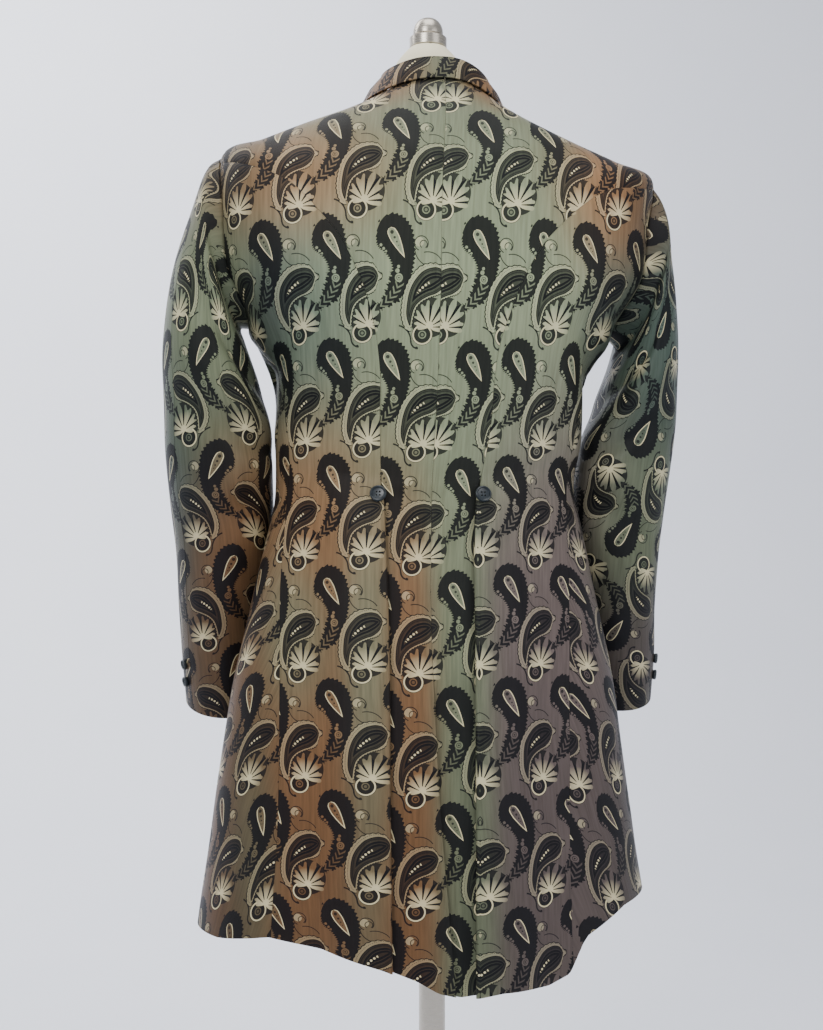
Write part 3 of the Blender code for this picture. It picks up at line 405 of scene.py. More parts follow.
def wing_places(side, v, columns):
    """Places from where the seam turns down to the armhole, with those on the seam itself. Above
    the seam they lean out to the armhole only near it."""
    turns, joins, leaves = yoke_seam(side)
    shares = places_across(0.0, 1.0, columns, abs(joins - turns) * metres_round(leaves, side), 1.2)
    on_seam = [turns + (joins - turns) * share for share in shares]
    lean = armhole_place(v, side, True) - joins
    power = WING_LEAN if v < leaves else 1
    return [u + lean * share ** power for u, share in zip(on_seam, shares)], on_seam


def places_across(first, last, columns, metres, crowd=1.0):
    """Places from one edge of a panel to the other, with one close to each edge so that the wall
    stands square there."""
    strip = min(EDGE_STRIP / metres / abs(last - first), 0.2)
    inner = strip + (1 - 2 * strip) * np.linspace(0, 1, columns) ** crowd
    return [first + (last - first) * fraction for fraction in (0, *inner, 1)]


def back_grids(side, rows, columns, wing_columns, point):
    """The centre back from its seam to the side-back seam, neck to hem, and the wing that reaches
    out to the armhole above the nearly level stretch of the seam."""
    turns, _, leaves = yoke_seam(side)
    strip, wing = [], []
    for v in rows:
        metres = metres_round(v, side)
        seam = seam_place(v, CENTRE_BACK_SEAM)
        inner, outer = seam, turns
        z = body_skin(inner, v)[2]
        vent = ease((VENT_TOP - z) / (VENT_TOP - VENT_FULL))
        if side < 0 and z < VENT_FULL + 0.002:
            inner += VENT_UNDERLAP / metres
        gap = side * SEAM_GAP / 2 / metres
        if v >= YOKE_SEAM_RING:
            outer = side_back_seam(v, side) - gap
            outer += side * UNDERLAP * ease(pleat_grown(z)) / metres
        row = []
        for u in places_across(inner + gap, outer, columns, metres):
            from_edge = 0.0 if side < 0 and u > seam else abs(u - seam) * metres
            near = 1 - ease(from_edge / VENT_SPREAD)
            row.append(point(side, u, v, near * vent * (VENT_RAISE if side > 0 else -VENT_SINK)))
        strip.append(row)
        if v <= YOKE_SEAM_RING:
            row = []
            for u, on_seam in zip(*wing_places(side, min(v, leaves), wing_columns)):
                lowest = seam_ring(side, on_seam) - SEAM_GAP / 2 / RING_SPACING
                row.append(point(side, u, v, 0.0) if v < lowest else point(side, on_seam, lowest, 0.0))
            row[0] = strip[-1][-1] if v < YOKE_SEAM_RING else row[0]
            wing.append(row)
    return strip, wing


def side_back_grids(side, rows, columns, point):
    """The side-back from its seam to the armhole and side seam, and the pleat turned under it."""
    main, turned = [], []
    for v in [v for v in rows if v > ARMHOLE_TOP - 0.5]:
        metres = metres_round(v, side)
        fold, outer = side_back_seam(v, side), side_seam(v, side)
        gap = side * SEAM_GAP / 2 / metres
        fold, outer = fold + gap, outer - gap
        if v < YOKE_SEAM_RING:
            row = []
            for u, on_seam in zip(*wing_places(side, v, columns)):
                highest = seam_ring(side, on_seam) + SEAM_GAP / 2 / RING_SPACING
                row.append(point(side, u, v, 0.0) if v > highest else point(side, on_seam, highest, 0.0))
            main.append(row)
            continue
        crowd = 1.2 if v < YOKE_SEAM_RING + 0.1 else 1.3
        places = places_across(fold, outer, columns, metres, crowd)
        z = body_skin(fold, v)[2]

        def lifted(u, sunk=0.0):
            away = abs(u - fold) * metres
            spread = 1 - ease((away - PLEAT_FLAT) / (PLEAT_SPREAD - PLEAT_FLAT))
            return point(side, u, v, pleat_lift(z) * spread - sunk)

        main.append([lifted(u) for u in places])
        grown = pleat_grown(z)
        if grown < 0:
            continue
        turn = PLEAT_TURN_START + (PLEAT_TURN - PLEAT_TURN_START) * grown
        back_run = PLEAT_RETURN * max(ease(grown), PLEAT_RETURN_START)
        normal, edge = outward(fold, v), main[-1][0]
        toward = unit(body_point(fold - side * 0.02, v) - body_point(fold, v))
        row = [edge]
        half = turn / 2
        for angle in (45, 90, 135):
            swing = math.radians(angle)
            row.append(edge - normal * half * (1 - math.cos(swing)) + toward * half * math.sin(swing))
        for back in (0.0, 0.4, 0.75, 1.0):
            row.append(lifted(fold + side * back * back_run / metres, turn))
        turned.append(row)
    return main, turned


@functools.lru_cache(maxsize=None)
def sleeve_line(side, degrees):
    """Points down the sleeve at one place round it: the armhole's, then one for each section."""
    swing = math.radians(degrees)
    out, behind = math.cos(swing), math.sin(swing)
    t = (1 - out) / 2
    v = ARMHOLE_TOP + t * (ARMHOLE_BOTTOM - ARMHOLE_TOP)
    start = body_skin(armhole_place(v, side, behind >= 0), v)
    line = []
    for values in SLEEVE_SECTIONS.values():
        row = dict(zip(SLEEVE_COLUMNS, values))
        which = "left" if side > 0 else "right"
        outer = np.array([row["outer_" + which], row["outer_z"]])
        inner = np.array([row["inner_" + which], row["inner_z"]])
        middle, reach = (outer + inner) / 2, (outer - inner) / 2
        x = middle[0] + reach[0] * out + row["bulge"] * abs(behind)
        y = row["middle_y"] + row["half_depth"] * behind
        drop = RIGHT_SHOULDER_DROP * max(0.0, 1 - len(line) / 3) if side < 0 else 0.0
        z = middle[1] + reach[1] * out - row["tilt"] * row["half_depth"] * behind - drop
        line.append(np.array([side * x, y, z]))
    start = start + unit(line[0] - start) * ARMHOLE_GAP
    return np.array([start] + line)


def sleeve_skin(side, degrees, w):
    line = sleeve_line(side, round(degrees, 4))
    return smooth_curve(range(len(line)), line, w)


def sleeve_point(side, degrees, w):
    """The sleeve's skin with its creases, at a place round it and down it."""
    point = sleeve_skin(side, degrees, w)
    depth = 0.0
    for row in SLEEVE_CREASES:
        crease = dict(zip(CREASE_COLUMNS, row))
        turned = (degrees - crease["around"] + 180) % 360 - 180
        along = (w - crease["along"] - crease["slant"] * turned) / crease["reach_along"]
        around = turned / crease["reach_around"]
        depth += crease["depth"] * math.exp(-along * along - around * around)
    if abs(depth) < 1e-6:
        return point
    down = sleeve_skin(side, degrees, w + 0.05) - sleeve_skin(side, degrees, w - 0.05)
    across = sleeve_skin(side, degrees + 2, w) - sleeve_skin(side, degrees - 2, w)
    return point + depth * side * unit(np.cross(across, down))


def collar_row(u):
    """Points across the collar at one place: its fall from the edge up to the fold, then its stand
    down to the neck seam, on the skin that shows."""
    knots = [row[0] for row in COLLAR]
    stand, lean, drop, spread = smooth_curve(knots, [row[1:] for row in COLLAR], abs(u))
    seam = body_skin(u, 0.0)
    size = ring_sizes(0.0)
    middle = np.array([size["centre_x"], size["widest_y"], seam[2]])
    away = unit((seam - middle) * np.array([1, 1, 0]))
    up = np.array([0, 0, 1.0])
    foot = seam - away * 0.0016 + up * 0.0012
    fold_in = foot - away * lean + up * (stand - COLLAR_FOLD_WIDTH / 2)
    fold_out = fold_in + away * COLLAR_FOLD_WIDTH
    crown = (fold_in + fold_out) / 2 + up * COLLAR_FOLD_WIDTH / 2
    edge = seam + away * spread + up * (1.2e-3 + stand - drop)
    belly = (fold_out + edge) / 2 + away * 0.0022 + up * 0.0010
    shoulder_out = (crown + fold_out) / 2 + (away + up) * 0.0009
    shoulder_in = (crown + fold_in) / 2 + (up - away) * 0.0009
    return [edge, belly, fold_out, shoulder_out, crown, shoulder_in, fold_in, (fold_in + foot) / 2, foot]


# The dressing: finer rows, softer creases, seams and the woven repeat

ROW_STEP = 0.0060            # between rows of the shells
BACK_COLUMNS, WING_COLUMNS, SIDE_BACK_COLUMNS, FRONT_COLUMNS = 22, 34, 34, 52
TOP_SLEEVE_COLUMNS, UNDER_SLEEVE_COLUMNS, SLEEVE_ROWS, COLLAR_PLACES = 26, 40, 110, 120
SIDES = ((1, "left"), (-1, "right"))
SMOOTH_ANGLE, TURNED_ANGLE = math.radians(50), math.radians(32)     # edges below it look round
UNEVENNESS = 0.0003          # of a panel's surface between its creases
MM = 1000.0                  # mm in a metre, for the charted repeat
GRAIN_HEIGHT = 1.0000        # the height from which the repeat is counted up and down
SEAM_ROLL, SEAM_ROLL_WIDTH = 0.0009, 0.0024     # a panel's edge dips towards its seam
SEAM_TABLE_STEP = 0.002
SLEEVE_LEVEL = 1.12                             # height at which a sleeve's repeat lies level
TUCK_IN, TUCK_UNDER = 0.0040, 0.0042            # the sleeve head's allowance under the armhole's edge

# Soft creases on the body: across (x), height, half length, half width, slant (degrees from level,
# + rising to the left side) and how far it stands out, on the back (1) or the front (-1)
BODY_CREASES = (
    (0.196, 1.205, 0.060, 0.0120, 118.0, 0.0050, 1),
    (0.176, 1.165, 0.065, 0.0100, 112.0, -0.0048, 1),
    (0.160, 1.120, 0.050, 0.0110, 104.0, 0.0026, 1),
    (-0.192, 1.190, 0.060, 0.0120, 62.0, 0.0050, 1),
    (-0.172, 1.150, 0.065, 0.0100, 66.0, -0.0048, 1),
    (-0.155, 1.110, 0.050, 0.0110, 74.0, 0.0024, 1),
    (0.036, 1.014, 0.034, 0.0035, 2.0, -0.0020, 1),
    (0.034, 1.024, 0.036, 0.0050, -4.0, 0.0014, 1),
    (0.110, 1.036, 0.050, 0.0080, 7.0, -0.0018, 1),
    (0.100, 1.062, 0.060, 0.0100, 4.0, 0.0014, 1),
    (-0.090, 1.040, 0.050, 0.0080, -6.0, -0.0018, 1),
    (-0.100, 1.070, 0.060, 0.0100, -3.0, 0.0014, 1),
    (0.120, 1.290, 0.070, 0.0130, 70.0, -0.0018, 1),
    (-0.115, 1.280, 0.070, 0.0130, 108.0, -0.0018, 1),
    (0.060, 1.392, 0.060, 0.0100, 24.0, 0.0010, 1),
    (-0.070, 1.385, 0.055, 0.0100, -22.0, 0.0010, 1),
    (0.180, 1.180, 0.070, 0.0130, 60.0, 0.0034, -1),
    (0.155, 1.150, 0.060, 0.0110, 68.0, -0.0030, -1),
    (-0.178, 1.175, 0.070, 0.0130, 118.0, 0.0034, -1),
    (-0.150, 1.140, 0.060, 0.0110, 110.0, -0.0030, -1),
    (0.090, 1.030, 0.060, 0.0090, -5.0, -0.0020, -1),
    (-0.085, 1.040, 0.060, 0.0090, 6.0, -0.0020, -1),
    (0.100, 1.330, 0.070, 0.0130, 52.0, 0.0018, -1),
    (-0.100, 1.325, 0.070, 0.0130, 128.0, 0.0018, -1),
)

# The figure's colour by place on the coat, partly painted light: across, height, reach of each, strength
# The shot weft's green, bronze and mauve lie where light falls warm or cool; teal and shade rows are
# painted shade
TINTS = (
    (0.03, 1.22, 0.13, 0.16, 1.2, "green"),
    (-0.10, 1.16, 0.08, 0.12, 0.5, "green"),
    (0.17, 0.70, 0.09, 0.16, 1.1, "bronze"),
    (0.045, 0.66, 0.030, 0.24, 1.6, "bronze"),
    (0.14, 1.345, 0.07, 0.050, 1.0, "bronze"),
    (-0.19, 1.335, 0.05, 0.060, 1.0, "bronze"),
    (0.13, 1.00, 0.06, 0.10, 0.7, "bronze"),
    (-0.008, 0.70, 0.024, 0.26, 1.8, "green"),
    (0.085, 0.78, 0.022, 0.18, 1.0, "green"),
    (0.165, 0.86, 0.03, 0.07, 0.9, "green"),
    (0.205, 0.66, 0.02, 0.10, 1.0, "green"),
    (-0.12, 0.72, 0.07, 0.24, 1.3, "mauve"),
    (-0.13, 1.02, 0.06, 0.10, 0.7, "mauve"),
    (0.15, 1.19, 0.05, 0.08, 0.9, "fold_shade_teal"),
    (0.255, 1.16, 0.04, 0.10, 0.9, "green"),
    (0.285, 1.02, 0.03, 0.12, 0.8, "fold_shade_teal"),
    (0.235, 0.93, 0.04, 0.12, 0.9, "bronze"),
    (-0.245, 1.20, 0.05, 0.12, 1.0, "fold_shade_teal"),
    (-0.235, 0.98, 0.04, 0.08, 0.9, "green"),
    (-0.255, 0.83, 0.05, 0.06, 0.9, "mauve"),
    (0.075, 1.475, 0.035, 0.025, 1.2, "bronze"),
    (-0.065, 1.475, 0.030, 0.025, 0.9, "bronze"),
    # painted shade in the deep folds by the armholes
    (0.185, 1.20, 0.020, 0.06, 1.5, "shade"),
    (-0.180, 1.19, 0.020, 0.06, 1.5, "shade"),
)
TINT_BASE = 0.06             # how strongly the plain green-grey holds everywhere
# Painted light and shade: height and how brightly the figure is painted there, lightest at the upper back,
# and how much darker it is painted on the outer sleeves, from SLEEVE_SHADE_FROM outwards
PAINTED_LIGHT_BY_HEIGHT = (
    (0.45, 0.50), (0.70, 0.58), (0.90, 0.78), (1.05, 1.0), (1.25, 1.25), (1.36, 1.05), (1.45, 0.8),
)
SLEEVE_SHADE, SLEEVE_SHADE_FROM, SLEEVE_SHADE_SPREAD = 0.35, 0.17, 0.05
GROUND_TONE = 0.40           # between the motifs: 0 is the darkest, 0.7 the light figure


class COAT_PG_settings(bpy.types.PropertyGroup):
    """Sizes and colours of the dressed coat"""
    repeat_width: bpy.props.FloatProperty(
        name="Repeat across", description="Width of one paisley repeat of the cloth",
        default=0.0720, unit="LENGTH")
    repeat_height: bpy.props.FloatProperty(
        name="Repeat down", description="Height of one paisley repeat of the cloth",
        default=0.1250, unit="LENGTH")
    green: bpy.props.FloatVectorProperty(
        name="Green", description="Figure where the weft shows green", subtype="COLOR",
        default=(0.250, 0.290, 0.175), min=0, max=1)
    bronze: bpy.props.FloatVectorProperty(
        name="Bronze", description="Figure where the weft shows bronze", subtype="COLOR",
        default=(0.300, 0.145, 0.062), min=0, max=1)
    mauve: bpy.props.FloatVectorProperty(
        name="Mauve", description="Figure where the weft shows mauve grey", subtype="COLOR",
        default=(0.180, 0.135, 0.125), min=0, max=1)
    # Painted shade: a darker green laid in the folds
    fold_shade_teal: bpy.props.FloatVectorProperty(
        name="Teal", description="Figure in the shaded green folds", subtype="COLOR",
        default=(0.080, 0.120, 0.098), min=0, max=1)
    # Painted shade: the darkest colour, laid in the deep folds by the armholes
    shade: bpy.props.FloatVectorProperty(
        name="Shade", description="Figure in the deep folds by the armholes", subtype="COLOR",
        default=(0.045, 0.055, 0.050), min=0, max=1)
    plain: bpy.props.FloatVectorProperty(
        name="Grey green", description="Figure elsewhere", subtype="COLOR",
        default=(0.170, 0.165, 0.110), min=0, max=1)


def crease_lift(point):
    """How far the soft creases move a point of the body, out or in."""
    face = 1 if point[1] > 0 else -1
    total = 0.0
    for x, z, length, width, slant, depth, on_face in BODY_CREASES:
        dx, dz = point[0] - x, point[2] - z
        if on_face != face or abs(dx) + abs(dz) > 3 * length:
            continue
        swing = math.radians(slant)
        along = (dx * math.cos(swing) + dz * math.sin(swing)) / length
        across = (dz * math.cos(swing) - dx * math.sin(swing)) / width
        if abs(along) > 2 or abs(across) > 3:
            continue
        across += 0.5 * along * along
        total += depth * math.exp(-along ** 4 - across * across)
    x, _, z = point
    return total + UNEVENNESS * (math.sin(x * 61 + z * 23) + math.sin(z * 47 - x * 29 + 1.3))


@functools.lru_cache(maxsize=None)
def seam_line(seam):
    """Heights, how far across the seam lies there, and how square to level it runs."""
    heights = np.arange(0.48, 1.50, SEAM_TABLE_STEP)
    across = np.array([smooth_curve(*zip(*seam), z) for z in heights])
    slope = np.gradient(across, SEAM_TABLE_STEP)
    return heights, across, 1 / np.sqrt(1 + slope * slope)


def seam_dip(point, side):
    """How far a panel's edge dips towards the seams of the back."""
    if point[1] < 0:
        return 0.0
    seams = []
    if point[2] > VENT_TOP:
        seams.append(CENTRE_BACK_SEAM)
    if point[2] > PLEAT_TOP:
        seams.append(SIDE_BACK_SEAM_LEFT if side > 0 else SIDE_BACK_SEAM_RIGHT)
    nearest = 1.0
    for seam in seams:
        heights, across, square = seam_line(seam)
        away = abs(point[0] - np.interp(point[2], heights, across))
        nearest = min(nearest, away * np.interp(point[2], heights, square))
    return SEAM_ROLL * math.exp(-(nearest / SEAM_ROLL_WIDTH) ** 2)


@functools.lru_cache(maxsize=None)
def back_profile():
    """Heights down the back and the length of cloth from GRAIN_HEIGHT down to each."""
    points = np.array([body_skin(0.3, v) for v in np.arange(0, len(RINGS) - 1 + 1e-9, 0.05)])
    steps = np.hypot(np.diff(points[:, 1]), np.diff(points[:, 2]))
    run = np.concatenate([[0], np.cumsum(steps)])
    return points[:, 2], run - np.interp(-GRAIN_HEIGHT, -points[:, 2], run)


def cloth_down(z):
    heights, run = back_profile()
    beyond = max(z - heights[0], 0.0) + min(z - heights[-1], 0.0)
    return float(np.interp(-z, -heights, run)) - beyond


@functools.lru_cache(maxsize=None)
def level_lengths(v, side):
    ring, _ = half_ring(v, side)
    steps = np.hypot(np.diff(ring[1]), np.diff(ring[2]))
    return ring[0], np.concatenate([[0], np.cumsum(steps)])


def level_run(u, v):
    """The level length of cloth from the middle of the back to a place, + to the left."""
    side = 1 if u >= 0 else -1
    around, run = level_lengths(round(v, 6), side)
    beyond = max(abs(u) - 2, 0.0) * metres_round(v, side)
    return side * (float(np.interp(abs(u), around, run)) + beyond)


@functools.lru_cache(maxsize=None)
def grain_run(name, v):
    """The level length from the middle of the back to the piece's grain line."""
    if name.startswith("back"):
        return level_run(seam_place(v, CENTRE_BACK_SEAM), v)
    side = 1 if name.endswith("left") else -1
    if name.startswith("front"):
        return level_run(side * 2.0, v)
    ring = back_ring(round(v, 6))
    z = float(np.interp(0.5 * side, ring[0], ring[3]))
    x = np.interp(z, *zip(*SIDE_BACK_GRAIN[name]))
    return level_run(float(np.interp(x, ring[1], ring[0])), v)


FLAT_PLACES = {}             # the flat place on the cloth of each point of a panel


def place_key(point):
    return tuple(np.round(point, 6))


def panel_maker(name):
    """A function that gives the points of a panel, creased, and notes their flat places."""
    downs, repeats, acrosses = np.array(LAY[name]).T
    repeat_height = bpy.context.scene.coat_settings.repeat_height

    def panel_point(side, u, v, lift):
        skin = body_skin(u, v)
        point = body_point(u, v, lift + crease_lift(skin) - seam_dip(skin, side))
        down = cloth_down(skin[2])
        beyond = down - min(max(down, downs[0]), downs[-1])
        FLAT_PLACES[place_key(point)] = (
            grain_run(name, round(v, 6)) - level_run(u, v) - np.interp(down, downs, acrosses),
            np.interp(down, downs, repeats) * repeat_height + beyond)
        return point

    return panel_point


@functools.lru_cache(maxsize=None)
def fine_rows(side):
    """Ring numbers at even steps down the centre back, with those where the seam turns."""
    rings = np.arange(0, len(RINGS) - 1 + 1e-9, 0.05)
    points = np.array([body_skin(0.5 * side, v) for v in rings])
    length = np.concatenate([[0], np.cumsum(np.linalg.norm(np.diff(points, axis=0), axis=1))])
    steps = np.linspace(0, length[-1], int(length[-1] / ROW_STEP) + 1)
    rows = [float(v) for v in np.interp(steps, length, rings)]
    leaves = yoke_seam(side)[2]
    rows = [v for v in rows if abs(v - YOKE_SEAM_RING) > 0.03 and abs(v - leaves) > 0.03]
    return sorted(round(v, 5) for v in [*rows, YOKE_SEAM_RING, leaves + 0.00001])


def front_grid(side, columns, point):
    """From the side seam and armhole to past centre front, cut in one from shoulder to hem."""
    grid = []
    for v in fine_rows(side):
        metres = metres_round(v, side)
        if v <= ARMHOLE_TOP:
            inner = float(side)
        elif v < ARMHOLE_BOTTOM:
            inner = armhole_place(v, side, False)
        else:
            inner = side_seam(v, side)
        inner += side * SEAM_GAP / 2 / metres
        outer = side * (2 + FRONT_OVERLAP / metres)
        row = []
        for u in places_across(inner, outer, columns, metres):
            away = max(2 - abs(u), 0) * metres
            near = 1 - ease(away / FRONT_SPREAD)
            row.append(point(side, u, v, near * (FRONT_RAISE if side > 0 else -FRONT_SINK)))
        grid.append(row)
    return grid


def lengths(grid):
    """How far each point lies along its row, and along its column."""
    points = np.array(grid)
    across = np.linalg.norm(np.diff(points, axis=1), axis=2)
    down = np.linalg.norm(np.diff(points, axis=0), axis=2)
    along_row = np.concatenate([np.zeros((len(points), 1)), np.cumsum(across, axis=1)], axis=1)
    along_column = np.concatenate([np.zeros((1, points.shape[1])), np.cumsum(down, axis=0)], axis=0)
    return points, along_row, along_column


def flat_grid(grid):
    """The noted flat places of a panel's points; a point without one runs on from its row's first."""
    flat = np.zeros((len(grid), len(grid[0]), 2))
    for i, row in enumerate(grid):
        start = FLAT_PLACES[place_key(row[0])]
        run = 0.0
        for j, point in enumerate(row):
            run += float(np.linalg.norm(point - row[max(j - 1, 0)]))
            flat[i, j] = FLAT_PLACES.get(place_key(point), (start[0] + run, start[1]))
    return flat


def hex_colour(text):
    """An sRGB hex colour as linear values."""
    values = [int(text[i:i + 2], 16) / 255 for i in (1, 3, 5)]
    return tuple(c / 12.92 if c <= 0.04045 else ((c + 0.055) / 1.055) ** 2.4 for c in values)


def weft_tints_and_painted_light(points):
    """The figure's colour at each point, a smooth blend of the shot colours around it, with painted light
    and shade.
    """
    settings = bpy.context.scene.coat_settings
    total = np.full(len(points), TINT_BASE)
    colours = TINT_BASE * np.tile(np.array(settings.plain), (len(points), 1))
    on_back = np.clip(0.6 + points[:, 1] / 0.08, 0.25, 1)
    for x, z, reach_x, reach_z, strength, colour in TINTS:
        away = ((points[:, 0] - x) / reach_x) ** 2 + ((points[:, 2] - z) / reach_z) ** 2
        weight = strength * np.exp(-away) * on_back
        total += weight
        colours += weight[:, None] * np.array(getattr(settings, colour))
    # painted light and shade: lighter at the upper back, darker down the skirt and on the outer sleeves
    heights, steps = np.array(PAINTED_LIGHT_BY_HEIGHT).T
    depth = np.interp(points[:, 2], heights, steps)
    outer = np.clip((np.abs(points[:, 0]) - SLEEVE_SHADE_FROM) / SLEEVE_SHADE_SPREAD, 0, 1)
    depth = depth * (1 - SLEEVE_SHADE * outer)
    return colours / total[:, None] * depth[:, None]


def select_only(*objects):
    """Selects these objects alone; the first is the active one."""
    bpy.ops.object.select_all(action="DESELECT")
    for obj in objects:
        obj.select_set(True)
    bpy.context.view_layer.objects.active = objects[0]


def placed(obj, node):
    """Sets a finished piece on the model's root in the place of a node."""
    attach(obj, "root")
    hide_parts(node)


def shell(name, grids, flats, flips, node):
    """Sews grids of points into one open shell with a wall, keeping each point's flat place."""
    points, faces, known, corner_places = [], [], {}, []

    def number(point):
        key = place_key(point)
        if key not in known:
            known[key] = len(points)
            points.append(point)
        return known[key]

    for grid, flat, flip in zip(grids, flats, flips):
        rows = [row[::-1] for row in grid] if flip else grid
        spots = flat[:, ::-1] if flip else flat
        numbers = [[number(point) for point in row] for row in rows]
        for i in range(len(numbers) - 1):
            for j in range(len(numbers[0]) - 1):
                corners = ((i, j), (i + 1, j), (i + 1, j + 1), (i, j + 1))
                kept = [c for k, c in enumerate(corners)
                        if numbers[c[0]][c[1]] != numbers[corners[k - 1][0]][corners[k - 1][1]]]
                face = tuple(numbers[a][b] for a, b in kept)
                if len(set(face)) == len(face) and len(face) >= 3:
                    faces.append(face)
                    corner_places.extend(tuple(spots[a][b]) for a, b in kept)
    mesh = bpy.data.meshes.new(name)
    mesh.from_pydata([tuple(map(float, p)) for p in points], [], faces)
    layer = mesh.uv_layers.new(name="cloth")
    layer.data.foreach_set("uv", np.array(corner_places, dtype=np.float32).ravel())
    # the tint attribute holds the figure's weft colour with painted light and shade
    tint = mesh.color_attributes.new("tint", "FLOAT_COLOR", "POINT")
    colours = np.ones((len(points), 4), dtype=np.float32)
    colours[:, :3] = weft_tints_and_painted_light(np.array(points))
    tint.data.foreach_set("color", colours.ravel())
    mesh.shade_smooth()
    obj = bpy.data.objects.new(name, mesh)
    bpy.context.scene.collection.objects.link(obj)
    solidify = obj.modifiers.new("Wall", "SOLIDIFY")
    solidify.thickness = WALL
    solidify.offset = -1
    solidify.use_quality_normals = True
    select_only(obj)
    bpy.ops.object.modifier_apply(modifier="Wall")
    bpy.ops.object.shade_smooth_by_angle(angle=SMOOTH_ANGLE)
    placed(obj, node)
    obj.data.materials.append(brocade())
    return obj


def add(tree, kind, *values, **settings):
    """Adds a node, gives it its settings, and sets or links its inputs in order."""
    made = tree.nodes.new("ShaderNode" + kind)
    for name, value in settings.items():
        setattr(made, name, value)
    for socket, value in zip(made.inputs, values):
        if isinstance(value, bpy.types.Node):
            value = result(value)
        if isinstance(value, bpy.types.NodeSocket):
            tree.links.new(value, socket)
        elif value is not None:
            socket.default_value = value
    return made


BEFORE_COLOURS = (None,) * 5     # the Mix node's sockets between its factor and its two colours


def result(node):
    """The output that a node shows."""
    return next(output for output in node.outputs if output.enabled)


def new_material(name):
    material = bpy.data.materials.new(name)
    material.use_nodes = True
    return material, material.node_tree, material.node_tree.nodes["Principled BSDF"]


# The repeat, charted in mm from the four dots of the large paisley: x to the right, y down
P_HALF_WIDTHS = ((2, 0), (4, 5.5), (8, 9.8), (14, 12.0), (20, 12.6), (27.6, 11.3), (35.3, 9.2),
                 (43.7, 6.4), (52.2, 4.0), (63.3, 2.3), (72, 0.3))
J_HALF_WIDTHS = ((0, 0), (3, 9.5), (8, 15), (19, 18.5), (30, 16.0), (39.4, 13.2), (54, 9.6),
                 (63, 8.8), (74, 7.7), (84, 5.5), (92, 2.8), (100, 0))
C_HALF_WIDTHS = ((0, 0), (1.2, 2.9), (4.8, 4.9), (10.8, 5.2), (16.8, 4.4), (22.8, 3.2),
                 (28.8, 1.6), (33.5, 0))
FERN_REACH = ((-180, 0), (-128, 0), (-112, 6), (-98, 12), (-88, 11), (-76, 16), (-66, 14), (-56, 19),
              (-48, 17), (-38, 22), (-30, 17), (-20, 25), (-12, 22), (-3, 28), (5, 22), (12, 28),
              (20, 31), (27, 25), (34, 29), (42, 22), (50, 25), (58, 18), (68, 17), (78, 20),
              (90, 17), (100, 19), (112, 13), (124, 6), (140, 0), (180, 0))
FERN_RIBS = ((-62.0, 11.0), (-30.0, 16.0), (4.0, 18.0), (30.0, 18.0), (60.0, 15.0), (88.0, 13.0))
# Thin dark lines of the scrolls: arc centre, radius, first angle, turn (+ clockwise), angle run,
# half width
SCROLL_LINES = (
    ((-2.5, -42.6), 7.2, 40.0, -1, 290.0, 0.50),
    ((8.6, -38.6), 18.1, 172.0, -1, 56.0, 0.50),
    ((4.9, -17.0), 17.4, -105.0, 1, 72.0, 0.50),
    ((-0.2, -41.7), 3.8, 60.0, -1, 300.0, 0.45),
)
TENDRIL_LINES = (
    ((-26.9, 56.2), 16.6, -78.0, 1, 80.0, 0.85),
    ((-2.5, 56.0), 7.6, 182.0, -1, 94.0, 0.85),
)


def repeat_place(tree, at, centre):
    """The place in the repeat, in mm, that lies round a motif's centre."""
    settings = bpy.context.scene.coat_settings
    half = (settings.repeat_width * MM / 2, settings.repeat_height * MM / 2, 1)
    shifted = add(tree, "VectorMath", at, (*centre, 0), operation="SUBTRACT")
    wrapped = add(tree, "VectorMath", shifted, half, tuple(-h for h in half), operation="WRAP")
    return add(tree, "VectorMath", wrapped, (*centre, 0), operation="ADD")


def turned_place(tree, place, centre, angle, turn=1):
    """The place seen from a centre, with an angle (degrees, y down) as its first axis."""
    return add(tree, "Mapping", place, (*centre, 0), (0, 0, math.radians(angle)), (1, turn, 1),
               vector_type="TEXTURE")


def along_arc(tree, place, centre, radius, angle, turn):
    """How far along an arc a place lies, in mm, and how far outside it."""
    seen = turned_place(tree, place, centre, angle, turn)
    parts = add(tree, "SeparateXYZ", seen)
    swing = add(tree, "Math", parts.outputs[1], parts.outputs[0], operation="ARCTAN2")
    along = add(tree, "Math", swing, radius, operation="MULTIPLY")
    reach = add(tree, "VectorMath", seen, operation="LENGTH")
    return along, add(tree, "Math", reach, radius, operation="SUBTRACT")


def drawn_curve(tree, at, points):
    """A smooth curve through a table, read at a node's value."""
    first, last = points[0][0], points[-1][0]
    top = max(value for _, value in points)
    share = add(tree, "MapRange", at, first, last, 0.0, 1.0)
    curve = add(tree, "FloatCurve", 1.0, share)
    line = curve.mapping.curves[0]
    while len(line.points) < len(points):
        line.points.new(0.5, 0.5)
    for point, (place, value) in zip(line.points, points):
        point.location = ((place - first) / (last - first), value / top)
    curve.mapping.update()
    return add(tree, "Math", curve, top, operation="MULTIPLY")


def depth_in(tree, along, outside, points):
    """How deep inside a shape about an arc a place lies, - outside it."""
    half_width = drawn_curve(tree, along, points)
    before = add(tree, "Math", points[0][0], along, operation="SUBTRACT")
    after = add(tree, "Math", along, points[-1][0], operation="SUBTRACT")
    past = add(tree, "Math", before, after, operation="MAXIMUM")
    past = add(tree, "Math", past, 0.0, operation="MAXIMUM")
    both = add(tree, "CombineXYZ", outside, past)
    away = add(tree, "VectorMath", both, operation="LENGTH")
    return add(tree, "Math", half_width, away, operation="SUBTRACT")


def laid_over(tree, tone, value, mask):
    """A tone (0 dark ground, 1 cream) with another laid over it where the mask is 1."""
    return add(tree, "Mix", mask, None, tone, value)


